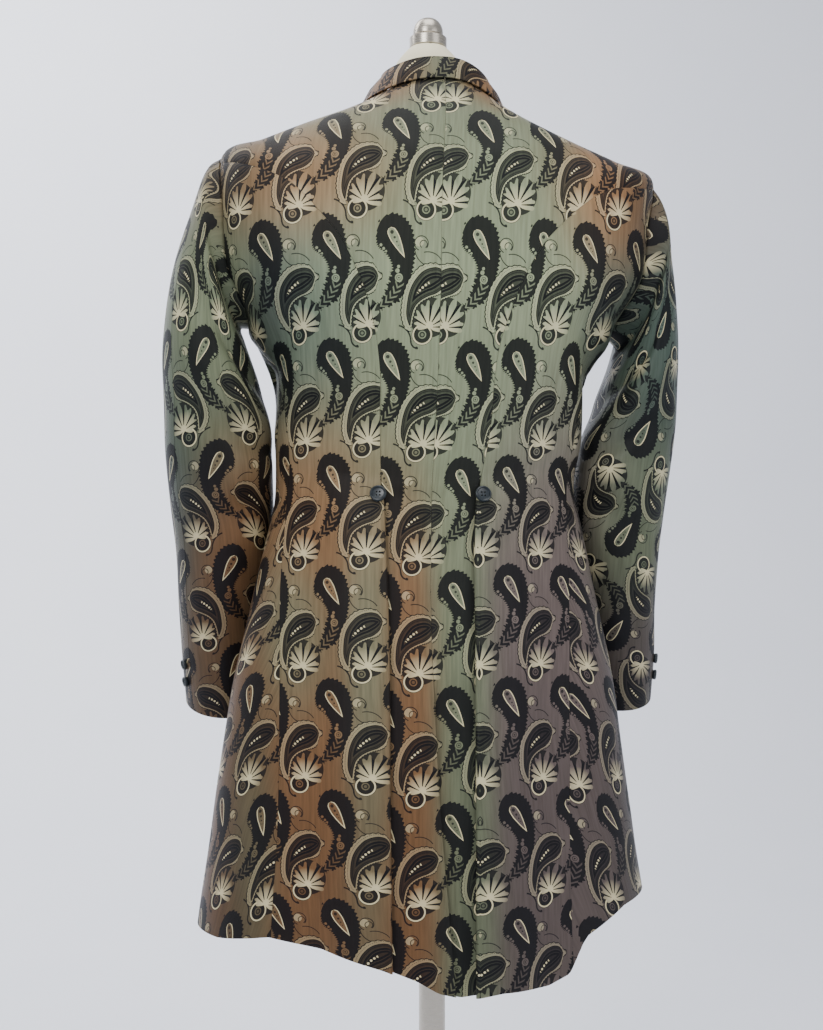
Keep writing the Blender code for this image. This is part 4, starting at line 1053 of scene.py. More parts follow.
def bands(tree, at, low, high, stops):
    """Flat tones in bands of a value between two limits."""
    share = add(tree, "MapRange", at, low, high, 0.0, 1.0)
    ramp = add(tree, "ValToRGB", share)
    ramp.color_ramp.interpolation = "CONSTANT"
    elements = ramp.color_ramp.elements
    while len(elements) < len(stops):
        elements.new(0.5)
    for element, (place, tone) in zip(elements, stops):
        element.position = (place - low) / (high - low)
        element.color = (tone, tone, tone, 1)
    return ramp


def line_mask(tree, place, centre, radius, angle, turn, run, half_width):
    along, outside = along_arc(tree, place, centre, radius, angle, turn)
    # the angle is measured from -180 to 180, so a long line is counted from its middle
    away = add(tree, "Math", outside, operation="ABSOLUTE")
    thin = add(tree, "Math", away, half_width, operation="LESS_THAN")
    off_middle = add(tree, "Math", along, operation="ABSOLUTE")
    within = add(tree, "Math", off_middle, radius * math.radians(run) / 2, operation="LESS_THAN")
    return add(tree, "Math", thin, within, operation="MULTIPLY")


def strewn_leaves(tree, at, tone):
    """Small dark leaves strewn over the ground."""
    place = repeat_place(tree, at, (-20.0, 0.0))
    place = add(tree, "VectorMath", place, (0.17, 0.11, 0.0), operation="MULTIPLY")
    leaves = add(tree, "TexVoronoi", place, voronoi_dimensions="2D")
    leaves.inputs["Scale"].default_value = 1.0
    leaf = add(tree, "Math", leaves.outputs["Distance"], 0.27, operation="LESS_THAN")
    return laid_over(tree, tone, 0.10, leaf)


def toothed_drop(tree, at, tone):
    """The saw-toothed dark drop, and the leaves of the vine beside its tail."""
    place = repeat_place(tree, at, (-34.0, -20.0))
    along, outside = along_arc(tree, place, (-69.9, -20.4), 48.4, -61.0, 1)
    depth = depth_in(tree, along, outside, J_HALF_WIDTHS)
    tooth = add(tree, "Math", along, 1.7, operation="PINGPONG")
    depth = add(tree, "Math", tooth, 1.5, depth, operation="MULTIPLY_ADD")
    leaf = add(tree, "Math", along, 4.0, operation="PINGPONG")
    leafy = add(tree, "Math", along, 60.0, operation="GREATER_THAN")
    leaf = add(tree, "Math", leaf, leafy, operation="MULTIPLY")
    depth = add(tree, "Math", leaf, 0.8, depth, operation="MULTIPLY_ADD")
    tone = laid_over(tree, bands(tree, depth, -4, 8, ((-4, 0.62), (0, 0.04), (1.0, 0.08))), tone, 0.0)
    vine = add(tree, "Math", outside, operation="ABSOLUTE")
    slant = add(tree, "Math", vine, 1.2, along, operation="MULTIPLY_ADD")
    leaf = add(tree, "Math", slant, 3.2, operation="PINGPONG")
    leaf = add(tree, "Math", leaf, 2.0, operation="GREATER_THAN")
    low = add(tree, "Math", along, 66.0, operation="GREATER_THAN")
    near = add(tree, "Math", vine, 4.6, operation="LESS_THAN")
    leaf = add(tree, "Math", leaf, near, operation="MULTIPLY")
    leaf = add(tree, "Math", leaf, low, operation="MULTIPLY")
    return laid_over(tree, tone, 0.48, leaf)


def scrolls(tree, at, tone):
    """Scrolls and tendril in thin dark lines, with a light comma inside."""
    place = repeat_place(tree, at, (0.0, -38.0))
    core = add(tree, "VectorMath", place, (-4.6, -44.0, 0), operation="DISTANCE")
    core = add(tree, "Math", core, 4.6, operation="LESS_THAN")
    tone = laid_over(tree, tone, 0.82, core)
    for centre, radius, angle, turn, run, half_width in SCROLL_LINES:
        middle = angle + turn * run / 2
        mask = line_mask(tree, place, centre, radius, middle, turn, run, half_width)
        tone = laid_over(tree, tone, 0.12, mask)
    place = repeat_place(tree, at, (-15.0, 52.0))
    for centre, radius, angle, turn, run, half_width in TENDRIL_LINES:
        middle = angle + turn * run / 2
        mask = line_mask(tree, place, centre, radius, middle, turn, run, half_width)
        tone = laid_over(tree, tone, 0.10, mask)
    ball = add(tree, "VectorMath", place, (-3.9, 63.0, 0), operation="DISTANCE")
    ball = add(tree, "Math", ball, 1.5, operation="LESS_THAN")
    return laid_over(tree, tone, 0.10, ball)


def large_paisley(tree, at, tone):
    """The large paisley: the dark round under its fern, its light border, then its layers."""
    place = repeat_place(tree, at, (8.0, 30.0))
    ground = add(tree, "VectorMath", place, (8.5, 31.0, 0), operation="DISTANCE")
    wave = add(tree, "Math", ground, 21.0, operation="LESS_THAN")
    tone = laid_over(tree, tone, 0.12, wave)
    place = repeat_place(tree, at, (2.0, 12.0))
    along, outside = along_arc(tree, place, (27.0, 30.0), 40.0, -90.0, -1)
    depth = depth_in(tree, along, outside, P_HALF_WIDTHS)
    convex = add(tree, "Math", outside, 0.0, operation="GREATER_THAN")
    wider = add(tree, "Math", convex, 3.6, -1.7, operation="MULTIPLY_ADD")
    past_head = add(tree, "MapRange", along, 8.0, 22.0, 0.0, 1.0)
    border = add(tree, "Math", wider, past_head, 3.7, operation="MULTIPLY_ADD")
    scallop = add(tree, "Math", along, 2.0, operation="PINGPONG")
    border = add(tree, "Math", scallop, 0.45, border, operation="MULTIPLY_ADD")
    from_outside = add(tree, "Math", depth, border, operation="ADD")
    tone = laid_over(tree, tone, 0.06, add(tree, "Math", from_outside, -0.5, operation="GREATER_THAN"))
    tone = laid_over(tree, tone, 0.78, add(tree, "Math", from_outside, 0.55, operation="GREATER_THAN"))
    vein = add(tree, "Math", depth, -3.1, 0.3, operation="COMPARE")
    dotted = add(tree, "Math", along, 0.8, operation="PINGPONG")
    dotted = add(tree, "Math", dotted, 0.3, operation="GREATER_THAN")
    vein = add(tree, "Math", vein, dotted, operation="MULTIPLY")
    vein = add(tree, "Math", vein, convex, operation="MULTIPLY")
    tone = laid_over(tree, tone, 0.35, vein)
    layers = bands(tree, depth, -4, 16, (
        (-4, 0.74), (-0.5, 0.05), (0.4, 0.14), (2.0, 0.02), (2.5, 0.17), (4.0, 0.24), (4.7, 0.04),
        (7.2, 0.20), (8.0, 0.05), (10.5, 0.16)))
    tone = laid_over(tree, tone, layers, add(tree, "Math", depth, -0.5, operation="GREATER_THAN"))
    beads = add(tree, "Math", along, 27.3, 23.2, operation="WRAP")
    beads = add(tree, "Math", beads, 25.25, operation="SUBTRACT")
    beads = add(tree, "VectorMath", add(tree, "CombineXYZ", beads, outside), operation="LENGTH")
    beads = add(tree, "Math", beads, 1.25, operation="LESS_THAN")
    in_row = add(tree, "Math", along, 29.0, 8.1, operation="COMPARE")
    return laid_over(tree, tone, 1.0, add(tree, "Math", beads, in_row, operation="MULTIPLY"))


def fern(tree, at, tone):
    """The ring with a curl, and the fern that grows from it."""
    place = repeat_place(tree, at, (6.0, 38.0))
    ring = add(tree, "VectorMath", place, (1.5, 49.1, 0), operation="DISTANCE")
    rings = bands(tree, ring, 0, 16, ((0, 0.45), (1.6, 0.12), (3.0, 0.60), (4.2, 0.10), (8.7, 0.98),
                                      (10.4, 0.12)))
    tone = laid_over(tree, tone, rings, add(tree, "Math", ring, 11.0, operation="LESS_THAN"))
    seen = turned_place(tree, place, (8.1, 41.2), -90.0)
    parts = add(tree, "SeparateXYZ", seen)
    swing = add(tree, "Math", parts.outputs[1], parts.outputs[0], operation="ARCTAN2")
    swing = add(tree, "Math", swing, 180 / math.pi, operation="MULTIPLY")
    reach = add(tree, "VectorMath", seen, operation="LENGTH")
    inside = add(tree, "Math", drawn_curve(tree, swing, FERN_REACH), reach, operation="SUBTRACT")
    fade = add(tree, "MapRange", reach, 3.0, 24.0, 0.98, 0.68)
    tone = laid_over(tree, tone, fade, add(tree, "Math", inside, 0.0, operation="GREATER_THAN"))
    leaf = add(tree, "Math", inside, -0.3, operation="GREATER_THAN")
    for angle, run in FERN_RIBS:
        rib = add(tree, "Math", swing, angle, 4.2, operation="COMPARE")
        beyond = add(tree, "Math", reach, run * 0.34, operation="GREATER_THAN")
        beyond = add(tree, "Math", beyond, leaf, operation="MULTIPLY")
        tone = laid_over(tree, tone, 0.04, add(tree, "Math", rib, beyond, operation="MULTIPLY"))
    return tone


def cream_drop(tree, at, tone):
    """The cream drop in the dark one, with its four dark spots."""
    place = repeat_place(tree, at, (-27.0, -40.0))
    seen = turned_place(tree, place, (-36.17, -56.98), 60.4)
    parts = add(tree, "SeparateXYZ", seen)
    half_width = drawn_curve(tree, parts.outputs[0], C_HALF_WIDTHS)
    away = add(tree, "Math", parts.outputs[1], operation="ABSOLUTE")
    depth = add(tree, "Math", half_width, away, operation="SUBTRACT")
    drop = bands(tree, depth, -4, 8, ((-4, 0.04), (0, 1.0), (1.1, 0.66)))
    within = add(tree, "Math", parts.outputs[0], 16.75, 17.3, operation="COMPARE")
    shown = add(tree, "Math", depth, -0.6, operation="GREATER_THAN")
    shown = add(tree, "Math", shown, within, operation="MULTIPLY")
    tone = laid_over(tree, tone, drop, shown)
    for along, radius in ((4.8, 1.9), (10.8, 1.3), (15.6, 0.9), (19.6, 0.6)):
        spot = add(tree, "VectorMath", seen, (along, 0, 0), operation="DISTANCE")
        spot = add(tree, "Math", spot, radius, operation="LESS_THAN")
        tone = laid_over(tree, tone, 0.14, spot)
    return tone


def snail_and_beads(tree, at, tone):
    """The light snail drop and short rows of beads."""
    place = repeat_place(tree, at, (-32.0, -20.0))
    snail = add(tree, "VectorMath", place, (-25.2, -8.8, 0), operation="DISTANCE")
    snails = bands(tree, snail, 0, 8, ((0, 0.15), (0.9, 0.7), (2.0, 0.2), (2.6, 0.72)))
    tone = laid_over(tree, tone, snails, add(tree, "Math", snail, 4.2, operation="LESS_THAN"))
    for spot, radius in (((-45.0, -40.0), 1.5), ((-42.0, -36.6), 1.4), ((-39.5, -34.0), 1.2),
                         ((-27.0, -15.5), 2.2), ((-26.0, -19.5), 1.6)):
        away = add(tree, "VectorMath", place, (*spot, 0), operation="DISTANCE")
        away = add(tree, "Math", away, radius, operation="LESS_THAN")
        tone = laid_over(tree, tone, 0.72, away)
    return tone


def paisley_tone(tree, at):
    """The figure's tone at a flat place: 0 is the dark ground, 0.7 the light figure, 1 cream."""
    tone = GROUND_TONE
    for motif in (strewn_leaves, toothed_drop, scrolls, large_paisley, fern, cream_drop,
                  snail_and_beads):
        tone = motif(tree, at, tone)
    return tone


def brocade():
    """Jacquard-woven silk and rayon: matt dark ground, shinier light figure on a shot weft."""
    known = bpy.data.materials.get("woven paisley brocade")
    if known:
        return known
    material, tree, shader = new_material("woven paisley brocade")
    flat = add(tree, "UVMap", uv_map="cloth")
    at = add(tree, "VectorMath", flat, (MM, MM, 0.0), operation="MULTIPLY")
    tone = paisley_tone(tree, at)
    # the figure's weft colour, with painted light by height and painted shade in the folds
    tint = add(tree, "Attribute", attribute_name="tint")
    # the warp's mottling
    streaks = add(tree, "VectorMath", at, (0.9, 0.05, 0.0), operation="MULTIPLY")
    mottle = add(tree, "TexNoise", streaks)
    mottle.inputs["Scale"].default_value = 0.35
    mottle.inputs["Detail"].default_value = 3.0
    strength = add(tree, "MapRange", mottle, 0.3, 0.7, 0.80, 1.15)
    light = add(tree, "VectorMath", tint, operation="SCALE")
    tree.links.new(strength.outputs[0], light.inputs["Scale"])
    dark = add(tree, "Mix", 0.020, *BEFORE_COLOURS,
               (*hex_colour("#0c0d12"), 1), light, data_type="RGBA")
    cream = add(tree, "Mix", 0.62, *BEFORE_COLOURS,
                light, (*hex_colour("#f0e3b4"), 1), data_type="RGBA")
    figure = add(tree, "MapRange", tone, 0.06, 0.74, 0.0, 1.0)
    colour = add(tree, "Mix", figure, *BEFORE_COLOURS, dark, light, data_type="RGBA")
    bright = add(tree, "MapRange", tone, 0.72, 1.0, 0.0, 1.0)
    colour = add(tree, "Mix", bright, *BEFORE_COLOURS, colour, cream, data_type="RGBA")
    tree.links.new(result(colour), shader.inputs["Base Color"])
    rough = add(tree, "MapRange", tone, 0.1, 0.8, 0.50, 0.36)
    tree.links.new(rough.outputs[0], shader.inputs["Roughness"])
    shader.inputs["Sheen Weight"].default_value = 0.01
    shader.inputs["Sheen Roughness"].default_value = 0.45
    shader.inputs["Specular IOR Level"].default_value = 0.12
    # twill lines of the ground and the raised figure
    parts = add(tree, "SeparateXYZ", at)
    rise = add(tree, "Math", parts.outputs[0], parts.outputs[1], operation="ADD")
    twill = add(tree, "Math", rise, 0.35, operation="PINGPONG")
    height = add(tree, "Math", tone, 0.5, twill, operation="MULTIPLY_ADD")
    bump = add(tree, "Bump")
    bump.inputs["Strength"].default_value = 0.35
    bump.inputs["Distance"].default_value = 0.00025
    tree.links.new(height.outputs[0], bump.inputs["Height"])
    tree.links.new(bump.outputs[0], shader.inputs["Normal"])
    return material


def horn():
    """Polished dark slate horn, cloudy, for the buttons."""
    known = bpy.data.materials.get("polished dark horn")
    if known:
        return known
    material, tree, shader = new_material("polished dark horn")
    place = add(tree, "TexCoord")
    cloud = add(tree, "TexNoise", place.outputs["Object"])
    cloud.inputs["Scale"].default_value = 220.0
    colour = add(tree, "Mix", cloud, *BEFORE_COLOURS,
                 (*hex_colour("#12161a"), 1), (*hex_colour("#2c353a"), 1), data_type="RGBA")
    tree.links.new(result(colour), shader.inputs["Base Color"])
    shader.inputs["Roughness"].default_value = 0.28
    return material


def cotton():
    """Plain-woven cream cotton, stretched over the form."""
    known = bpy.data.materials.get("cream cotton cover")
    if known:
        return known
    material, tree, shader = new_material("cream cotton cover")
    place = add(tree, "TexCoord")
    patch = add(tree, "TexNoise", place.outputs["Object"])
    patch.inputs["Scale"].default_value = 30.0
    colour = add(tree, "Mix", patch, *BEFORE_COLOURS,
                 (*hex_colour("#d9cfae"), 1), (*hex_colour("#f3ecd2"), 1), data_type="RGBA")
    tree.links.new(result(colour), shader.inputs["Base Color"])
    weave = add(tree, "TexNoise", place.outputs["Object"])
    weave.inputs["Scale"].default_value = 1400.0
    bump = add(tree, "Bump")
    bump.inputs["Strength"].default_value = 0.4
    bump.inputs["Distance"].default_value = 0.0004
    tree.links.new(weave.outputs[0], bump.inputs["Height"])
    tree.links.new(bump.outputs[0], shader.inputs["Normal"])
    shader.inputs["Roughness"].default_value = 0.85
    return material


def nickel():
    """Brushed nickel with fine turned scratches, for the finial, pole and base."""
    known = bpy.data.materials.get("brushed nickel")
    if known:
        return known
    material, tree, shader = new_material("brushed nickel")
    place = add(tree, "TexCoord")
    drawn = add(tree, "VectorMath", place.outputs["Object"], (40.0, 40.0, 2600.0), operation="MULTIPLY")
    scratch = add(tree, "TexNoise", drawn)
    scratch.inputs["Scale"].default_value = 1.0
    rough = add(tree, "MapRange", scratch, 0.3, 0.7, 0.22, 0.42)
    tree.links.new(rough.outputs[0], shader.inputs["Roughness"])
    shader.inputs["Base Color"].default_value = (*hex_colour("#b3aca0"), 1)
    shader.inputs["Metallic"].default_value = 1.0
    return material


# How each piece lies on the cloth: at lengths down the back from GRAIN_HEIGHT (m), which row of
# the repeat falls there and how far its column lies from the piece's grain line, + to the right
BACK_ROWS = ((-0.369, -2), (-0.234, -1), (-0.108, 0), (0.259, 3), (0.374, 4), (0.485, 5))
LAY = {
    "back_left": [(*row, across) for row, across in
                  zip(BACK_ROWS, (-0.0174, -0.0199, -0.0205, -0.0233, -0.0318, -0.0429))],
    "back_right": [(*row, across) for row, across in
                   zip(BACK_ROWS, (0.0020, -0.0020, -0.0053, -0.0231, -0.0318, -0.0429))],
    "side_back_left": ((-0.234, -1, 0.0058), (-0.112, 0, 0.0113), (0.132, 2, 0.0064),
                       (0.247, 3, 0.0097), (0.358, 4, 0.0106), (0.462, 5, 0.0146)),
    "side_back_right": ((-0.239, -1, -0.0442), (-0.110, 0, -0.0520), (0.250, 3, -0.0698),
                        (0.368, 4, -0.0604), (0.480, 5, -0.0632)),
    "front_left": ((-0.250, -2, 0.010), (0.375, 3, 0.010)),
    "front_right": ((-0.240, -2, -0.012), (0.385, 3, -0.012)),
}
# The same for the sleeves and collar: how far across and down from the dots
OFFSETS = {"sleeve_left": (0.0, 0.0), "sleeve_right": (0.0, 0.0), "collar": (0.036, -0.020)}
# The side-backs' grain lines: height and how far across
SIDE_BACK_GRAIN = {
    "side_back_left": ((0.50, 0.100), (1.35, 0.100)),
    "side_back_right": ((0.50, -0.085), (1.35, -0.085)),
}


class COAT_OT_back(bpy.types.Operator):
    """Make the two centre back panels"""
    bl_idname = "coat.back"
    bl_label = "Centre backs"

    def execute(self, context):
        for side, which in SIDES:
            name = "back_" + which
            strip, wing = back_grids(side, fine_rows(side), BACK_COLUMNS, WING_COLUMNS,
                                     panel_maker(name))
            flats = [flat_grid(strip), flat_grid(wing)]
            shell(name + "_cloth", [strip, wing], flats, [side > 0, side > 0], name)
        return {"FINISHED"}


class COAT_OT_side_backs(bpy.types.Operator):
    """Make the two side-back panels with their pleats"""
    bl_idname = "coat.side_backs"
    bl_label = "Side backs"

    def execute(self, context):
        for side, which in SIDES:
            name = "side_back_" + which
            main, turned = side_back_grids(side, fine_rows(side), SIDE_BACK_COLUMNS,
                                           panel_maker(name))
            flats = [flat_grid(main), flat_grid(turned)]
            shell(name + "_cloth", [main, turned], flats, [side > 0, side < 0], name)
        return {"FINISHED"}


class COAT_OT_fronts(bpy.types.Operator):
    """Make the two fronts"""
    bl_idname = "coat.fronts"
    bl_label = "Fronts"

    def execute(self, context):
        for side, which in SIDES:
            name = "front_" + which
            grid = front_grid(side, FRONT_COLUMNS, panel_maker(name))
            shell(name + "_cloth", [grid], [flat_grid(grid)], [side > 0], name)
        return {"FINISHED"}


class COAT_OT_sleeves(bpy.types.Operator):
    """Make the two sleeves, each of a top and an under piece"""
    bl_idname = "coat.sleeves"
    bl_label = "Sleeves"

    def execute(self, context):
        for side, which in SIDES:
            self.piece("top_sleeve_" + which, side, FORE_ARM_SEAM - 360, HIND_ARM_SEAM,
                       TOP_SLEEVE_COLUMNS)
            self.piece("under_sleeve_" + which, side, HIND_ARM_SEAM, FORE_ARM_SEAM,
                       UNDER_SLEEVE_COLUMNS)
        return {"FINISHED"}

    def piece(self, name, side, first, last, columns):
        rows = np.linspace(0, len(SLEEVE_SECTIONS), SLEEVE_ROWS)
        gap = SLEEVE_SEAM_GAP / 2 * math.degrees(1 / SLEEVE_RADIUS)
        around = np.linspace(first + gap, last - gap, columns)
        grid = [[sleeve_point(side, degrees, w) for degrees in around] for w in rows]
        middle = np.mean([sleeve_line(side, degrees)[0] for degrees in range(0, 360, 15)], axis=0)
        tucked = []
        for edge, below in zip(grid[0], grid[2]):
            tucked.append(edge + unit(edge - below) * TUCK_IN + unit(middle - edge) * TUCK_UNDER)
        grid.insert(0, tucked)
        points, across, along_column = lengths(grid)
        degrees = np.abs(around) if first < 0 else around - first
        start = across[:, [int(np.argmin(degrees))]]
        if first > 0:
            start = start - self.from_outer_point(side, [0.0, *rows])
        centre = points.mean(axis=1)
        level_row = int(np.argmin(np.abs(centre[:, 2] - SLEEVE_LEVEL)))
        down = along_column - along_column[level_row] + GRAIN_HEIGHT - points[level_row, :, 2]
        key = "sleeve_left" if side > 0 else "sleeve_right"
        flat = np.stack([-side * (across - start), down], axis=2) * (1 if side > 0 else -1)
        flat -= np.array(OFFSETS[key])
        shell(name + "_cloth", [grid], [flat], [side < 0], name)

    def from_outer_point(self, side, rows):
        """Lengths from the outer point round to the hind-arm seam, row by row."""
        runs = []
        for w in rows:
            line = np.array([sleeve_point(side, d, w) for d in np.linspace(0, HIND_ARM_SEAM, 6)])
            runs.append(np.linalg.norm(np.diff(line, axis=0), axis=1).sum())
        return np.array(runs)[:, None]


class COAT_OT_collar(bpy.types.Operator):
    """Make the turned-down collar"""
    bl_idname = "coat.collar"
    bl_label = "Collar"

    def execute(self, context):
        places = np.linspace(-COLLAR_END, COLLAR_END, COLLAR_PLACES)
        rows = [collar_row(u) for u in places]
        grid = [list(column) for column in zip(*rows)]
        points, along_row, along_column = lengths(grid)
        middle = along_row[:, [along_row.shape[1] // 2]]
        flat = np.stack([middle - along_row, -along_column], axis=2) - np.array(OFFSETS["collar"])
        shell("collar_cloth", [grid], [flat], [False], "collar")
        return {"FINISHED"}


def turned_piece(name, centre, profile, segments, material, node):
    """A round piece drawn up from a circle ring by ring, top and bottom filled."""
    bpy.ops.object.select_all(action="DESELECT")
    radius, height = profile[0]
    bpy.ops.mesh.primitive_circle_add(vertices=segments, radius=radius, fill_type="NGON",
                                      location=(0, 0, 0))
    obj = bpy.context.object
    obj.name = name
    bpy.ops.object.mode_set(mode="EDIT")
    bpy.ops.mesh.select_all(action="SELECT")
    bpy.ops.transform.translate(value=(0, 0, height))
    for next_radius, next_height in profile[1:]:
        bpy.ops.mesh.extrude_region_move(
            TRANSFORM_OT_translate={"value": (0, 0, next_height - height)})
        share = next_radius / radius
        bpy.ops.transform.resize(value=(share, share, 1), center_override=(0, 0, next_height))
        radius, height = next_radius, next_height
    bpy.ops.mesh.select_all(action="SELECT")
    bpy.ops.mesh.normals_make_consistent(inside=False)
    bpy.ops.transform.translate(value=centre)
    bpy.ops.object.mode_set(mode="OBJECT")
    bpy.ops.object.shade_smooth_by_angle(angle=TURNED_ANGLE)
    obj.data.materials.append(material)
    placed(obj, node)
    return obj


class COAT_OT_buttons(bpy.types.Operator):
    """Make the twelve four-hole buttons where the model has them"""
    bl_idname = "coat.buttons"
    bl_label = "Buttons"

    def execute(self, context):
        names = [(f"back_button_{which}", BACK_BUTTON_ACROSS) for which in ("left", "right")]
        names += [(f"front_button_{n}", FRONT_BUTTON_ACROSS) for n in range(1, 7)]
        names += [(f"cuff_button_{which}_{n}", CUFF_BUTTON_ACROSS)
                  for which in ("left", "right") for n in (1, 2)]
        for name, across in names:
            self.button(name, across)
        return {"FINISHED"}

    def button(self, node, across):
        """A dished button with a rim, cut through by four holes."""
        solid = bpy.data.objects[node]
        points = np.array([solid.matrix_world @ v.co for v in solid.data.vertices])
        centre = points.mean(axis=0)
        _, _, axes = np.linalg.svd(np.unique(np.round(points, 6), axis=0) - centre, full_matrices=False)
        facing = axes[2] * (1 if np.dot(axes[2], centre - np.array([0, 0, centre[2]])) > 0 else -1)
        run = (points - centre) @ facing
        radius, thick = across / 2, float(run.max() - run.min())
        base = centre + facing * float(run.min())
        profile = ((radius * 0.86, 0.0), (radius, thick * 0.45), (radius, thick * 0.70),
                   (radius * 0.93, thick * 0.94), (radius * 0.86, thick), (radius * 0.78, thick * 0.94),
                   (radius * 0.70, thick * 0.66), (radius * 0.60, thick * 0.60),
                   (radius * 0.02, thick * 0.60))
        button = turned_piece(node + "_horn", (0, 0, 0), profile, 40, horn(), node)
        holes = []
        for x, y in ((1, 1), (1, -1), (-1, 1), (-1, -1)):
            bpy.ops.mesh.primitive_cylinder_add(
                vertices=12, radius=radius * 0.105, depth=thick * 3,
                location=(x * radius * 0.20, y * radius * 0.20, 0))
            holes.append(bpy.context.object)
        select_only(*holes)
        bpy.ops.object.join()
        cutter = bpy.context.object
        cut = button.modifiers.new("Holes", "BOOLEAN")
        cut.operation = "DIFFERENCE"
        cut.solver = "EXACT"
        cut.object = cutter
        select_only(button)
        bpy.ops.object.modifier_apply(modifier="Holes")
        bpy.data.objects.remove(cutter, do_unlink=True)
        sideways = unit(np.cross((0, 0, 1.0), facing))
        upright = np.cross(facing, sideways)
        matrix = np.eye(4)
        matrix[:3, 0], matrix[:3, 1], matrix[:3, 2], matrix[:3, 3] = sideways, upright, facing, base
        button.data.transform(Matrix(matrix.tolist()))
        button.data.update()


class COAT_OT_form(bpy.types.Operator):
    """Make the padded form's cover, its finial, pole and base"""
    bl_idname = "coat.form"
    bl_label = "Dress form"

    def execute(self, context):
        solid = bpy.data.objects["form_torso"]
        mesh = solid.data.copy()
        mesh.transform(solid.matrix_world)
        cover = bpy.data.objects.new("form_cover", mesh)
        context.scene.collection.objects.link(cover)
        select_only(cover)
        bpy.ops.object.mode_set(mode="EDIT")
        bpy.ops.mesh.select_all(action="SELECT")
        bpy.ops.mesh.remove_doubles(threshold=0.00005)
        bpy.ops.mesh.tris_convert_to_quads()
        bpy.ops.object.mode_set(mode="OBJECT")
        smooth = cover.modifiers.new("Padding", "SUBSURF")
        smooth.levels = smooth.render_levels = 2
        bpy.ops.object.modifier_apply(modifier="Padding")
        bpy.ops.object.shade_smooth_by_angle(angle=SMOOTH_ANGLE)
        cover.data.materials.clear()
        cover.data.materials.append(cotton())
        placed(cover, "form_torso")
        top = NECK_TOP + RESTING_GAP
        groove = top + FINIAL_BODY_HEIGHT
        dome = groove + FINIAL_GROOVE_HEIGHT
        profile = [(FINIAL_BODY_RADIUS * 0.96, top), (FINIAL_BODY_RADIUS, top + 0.0008),
                   (FINIAL_BODY_RADIUS, groove - 0.0008), (FINIAL_BODY_RADIUS * 0.96, groove),
                   (FINIAL_GROOVE_RADIUS, groove + 0.0001), (FINIAL_GROOVE_RADIUS, dome - 0.0001),
                   (FINIAL_DOME_RADIUS * 0.96, dome), (FINIAL_DOME_RADIUS, dome + 0.0008)]
        for step in range(0, 13):
            swing = math.radians(90 * (1 - step / 12))
            radius = max(FINIAL_DOME_RADIUS * math.sin(swing) ** 0.8, 0.0004)
            profile.append((radius, dome + 0.003 + (FINIAL_DOME_HEIGHT - 0.003) * math.cos(swing)))
        middle = (FORM_CENTRE_X, 0, 0)
        turned_piece("finial_nickel", middle, profile, 64, nickel(), "form_finial")
        cup_top = BASE_THICK + BASE_CUP_HEIGHT
        turned_piece("pole_nickel", (0, 0, 0),
                     [(POLE_RADIUS, cup_top + RESTING_GAP), (POLE_RADIUS, FORM_BOTTOM_Z - RESTING_GAP)],
                     48, nickel(), "form_pole")
        turned_piece("base_nickel", (0, 0, 0),
                     [(BASE_RADIUS - 0.001, 0), (BASE_RADIUS, 0.001), (BASE_RADIUS, BASE_THICK * 0.45),
                      (BASE_RADIUS * 0.995, BASE_THICK * 0.65), (BASE_RADIUS - BASE_EDGE, BASE_THICK * 0.8),
                      (BASE_CUP_RADIUS * 1.5, BASE_THICK), (BASE_CUP_RADIUS, BASE_THICK + 0.012),
                      (BASE_CUP_RADIUS * 0.72, cup_top)],
                     96, nickel(), "form_base")
        return {"FINISHED"}


# The camera: where it stands, where it looks, its lens (mm) and the small shift of its frame
CAMERA_PLACE, CAMERA_AIM = (0.2227, 1.5844, 0.977), (-0.1392, -0.9903, 0)
CAMERA_LENS, CAMERA_SENSOR, CAMERA_SHIFT = 48.9, 36, (-0.0199, 0.0146)
# The soft boxes: place, aim, width (m) and power (W); the last one lights the wall
LIGHTS = {
    "key": ((2.0, 3.0, 2.9), (0, 0, 1.0), 1.6, 70),
    "fill": ((-2.4, 2.8, 1.8), (0, 0, 1.0), 2.2, 42),
    "top": ((0.0, 0.6, 3.4), (0, 0, 1.0), 1.8, 40),
    "wall": ((1.6, -1.2, 3.2), (0.2, -4.5, 1.0), 2.4, 150),
}
ROOM_LIGHT = 0.70
SWEEP_WIDTH, SWEEP_DEPTH, SWEEP_FORWARD = 12, 6, 1.2
SWEEP_RADIUS, SWEEP_STEPS, SWEEP_WALL = 1.6, 14, 3.0    # of the turn up into the wall, and above it


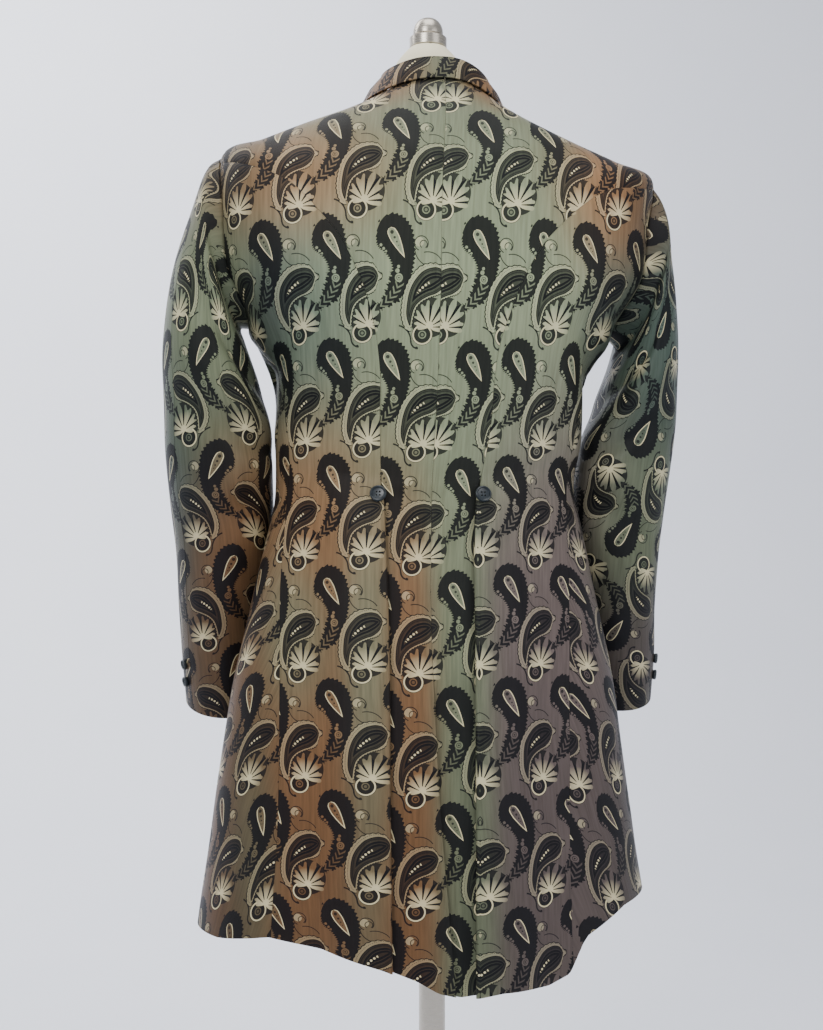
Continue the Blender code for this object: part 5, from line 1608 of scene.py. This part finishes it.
class COAT_OT_stage(bpy.types.Operator):
    """Make the seamless backdrop, the studio light and the camera"""
    bl_idname = "coat.stage"
    bl_label = "Studio"

    def execute(self, context):
        # a floor that turns up into a wall behind the coat, as a paper sweep does
        bpy.ops.object.select_all(action="DESELECT")
        bpy.ops.mesh.primitive_plane_add(size=1, location=(0, 0, 0))
        sweep = context.object
        sweep.name = "studio_sweep"
        bpy.ops.object.mode_set(mode="EDIT")
        bpy.ops.mesh.select_all(action="SELECT")
        bpy.ops.transform.resize(value=(SWEEP_WIDTH, SWEEP_DEPTH, 1), center_override=(0, 0, 0))
        bpy.ops.transform.translate(value=(0, SWEEP_FORWARD, 0))
        bpy.ops.mesh.select_all(action="DESELECT")
        bpy.ops.object.mode_set(mode="OBJECT")
        for edge in sweep.data.edges:
            ends = [sweep.data.vertices[n].co.y for n in edge.vertices]
            edge.select = max(ends) < 0
        bpy.ops.object.mode_set(mode="EDIT")
        bpy.ops.mesh.select_mode(type="EDGE")
        size = math.radians(90) / SWEEP_STEPS * SWEEP_RADIUS
        for step in range(SWEEP_STEPS):
            swing = math.radians(90 * (step + 0.5) / SWEEP_STEPS)
            bpy.ops.mesh.extrude_region_move(TRANSFORM_OT_translate={
                "value": (0, -math.cos(swing) * size, math.sin(swing) * size)})
        bpy.ops.mesh.extrude_region_move(TRANSFORM_OT_translate={"value": (0, 0, SWEEP_WALL)})
        bpy.ops.object.mode_set(mode="OBJECT")
        bpy.ops.object.shade_smooth_by_angle(angle=SMOOTH_ANGLE)
        material, tree, shader = new_material("pale studio paper")
        place = add(tree, "TexCoord")
        grain = add(tree, "TexNoise", place.outputs["Object"])
        grain.inputs["Scale"].default_value = 3.0
        colour = add(tree, "Mix", grain, *BEFORE_COLOURS,
                     (*hex_colour("#e6e9f2"), 1), (*hex_colour("#eceef5"), 1), data_type="RGBA")
        tree.links.new(result(colour), shader.inputs["Base Color"])
        shader.inputs["Roughness"].default_value = 0.9
        sweep.data.materials.append(material)
        for name, (place, aim, size, power) in LIGHTS.items():
            light = bpy.data.lights.new(name, "AREA")
            light.size = size
            light.energy = power
            lamp = bpy.data.objects.new(name, light)
            lamp.location = place
            lamp.rotation_euler = (Vector(aim) - Vector(place)).to_track_quat("-Z", "Y").to_euler()
            context.scene.collection.objects.link(lamp)
        world = context.scene.world or bpy.data.worlds.new("studio")
        context.scene.world = world
        world.use_nodes = True
        background = world.node_tree.nodes["Background"]
        background.inputs[0].default_value = (*hex_colour("#dfe2ea"), 1)
        background.inputs[1].default_value = ROOM_LIGHT
        data = bpy.data.cameras.new("camera")
        data.lens = CAMERA_LENS
        data.sensor_width = CAMERA_SENSOR
        data.shift_x, data.shift_y = CAMERA_SHIFT
        camera = bpy.data.objects.new("camera", data)
        camera.location = CAMERA_PLACE
        camera.rotation_euler = Vector(CAMERA_AIM).to_track_quat("-Z", "Y").to_euler()
        context.scene.collection.objects.link(camera)
        context.scene.camera = camera
        return {"FINISHED"}


class COAT_PT_panel(bpy.types.Panel):
    """Sizes, colours and the steps that dress the coat"""
    bl_label = "Frock coat"
    bl_idname = "COAT_PT_panel"
    bl_space_type = "VIEW_3D"
    bl_region_type = "UI"
    bl_category = "Frock coat"

    def draw(self, context):
        settings = context.scene.coat_settings
        for name in COAT_PG_settings.__annotations__:
            self.layout.prop(settings, name)
        for step in STEPS:
            self.layout.operator(step.bl_idname)


STEPS = (COAT_OT_back, COAT_OT_side_backs, COAT_OT_fronts, COAT_OT_sleeves, COAT_OT_collar,
         COAT_OT_buttons, COAT_OT_form, COAT_OT_stage)
CLASSES = (COAT_PG_settings, *STEPS, COAT_PT_panel)


def register():
    for each in CLASSES:
        bpy.utils.register_class(each)
    bpy.types.Scene.coat_settings = bpy.props.PointerProperty(type=COAT_PG_settings)


def unregister():
    del bpy.types.Scene.coat_settings
    for each in reversed(CLASSES):
        bpy.utils.unregister_class(each)


def main():
    register()
    bpy.ops.coat.back()
    bpy.ops.coat.side_backs()
    bpy.ops.coat.fronts()
    bpy.ops.coat.sleeves()
    bpy.ops.coat.collar()
    bpy.ops.coat.buttons()
    bpy.ops.coat.form()
    bpy.ops.coat.stage()
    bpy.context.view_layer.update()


if __name__ == "__main__":
    main()
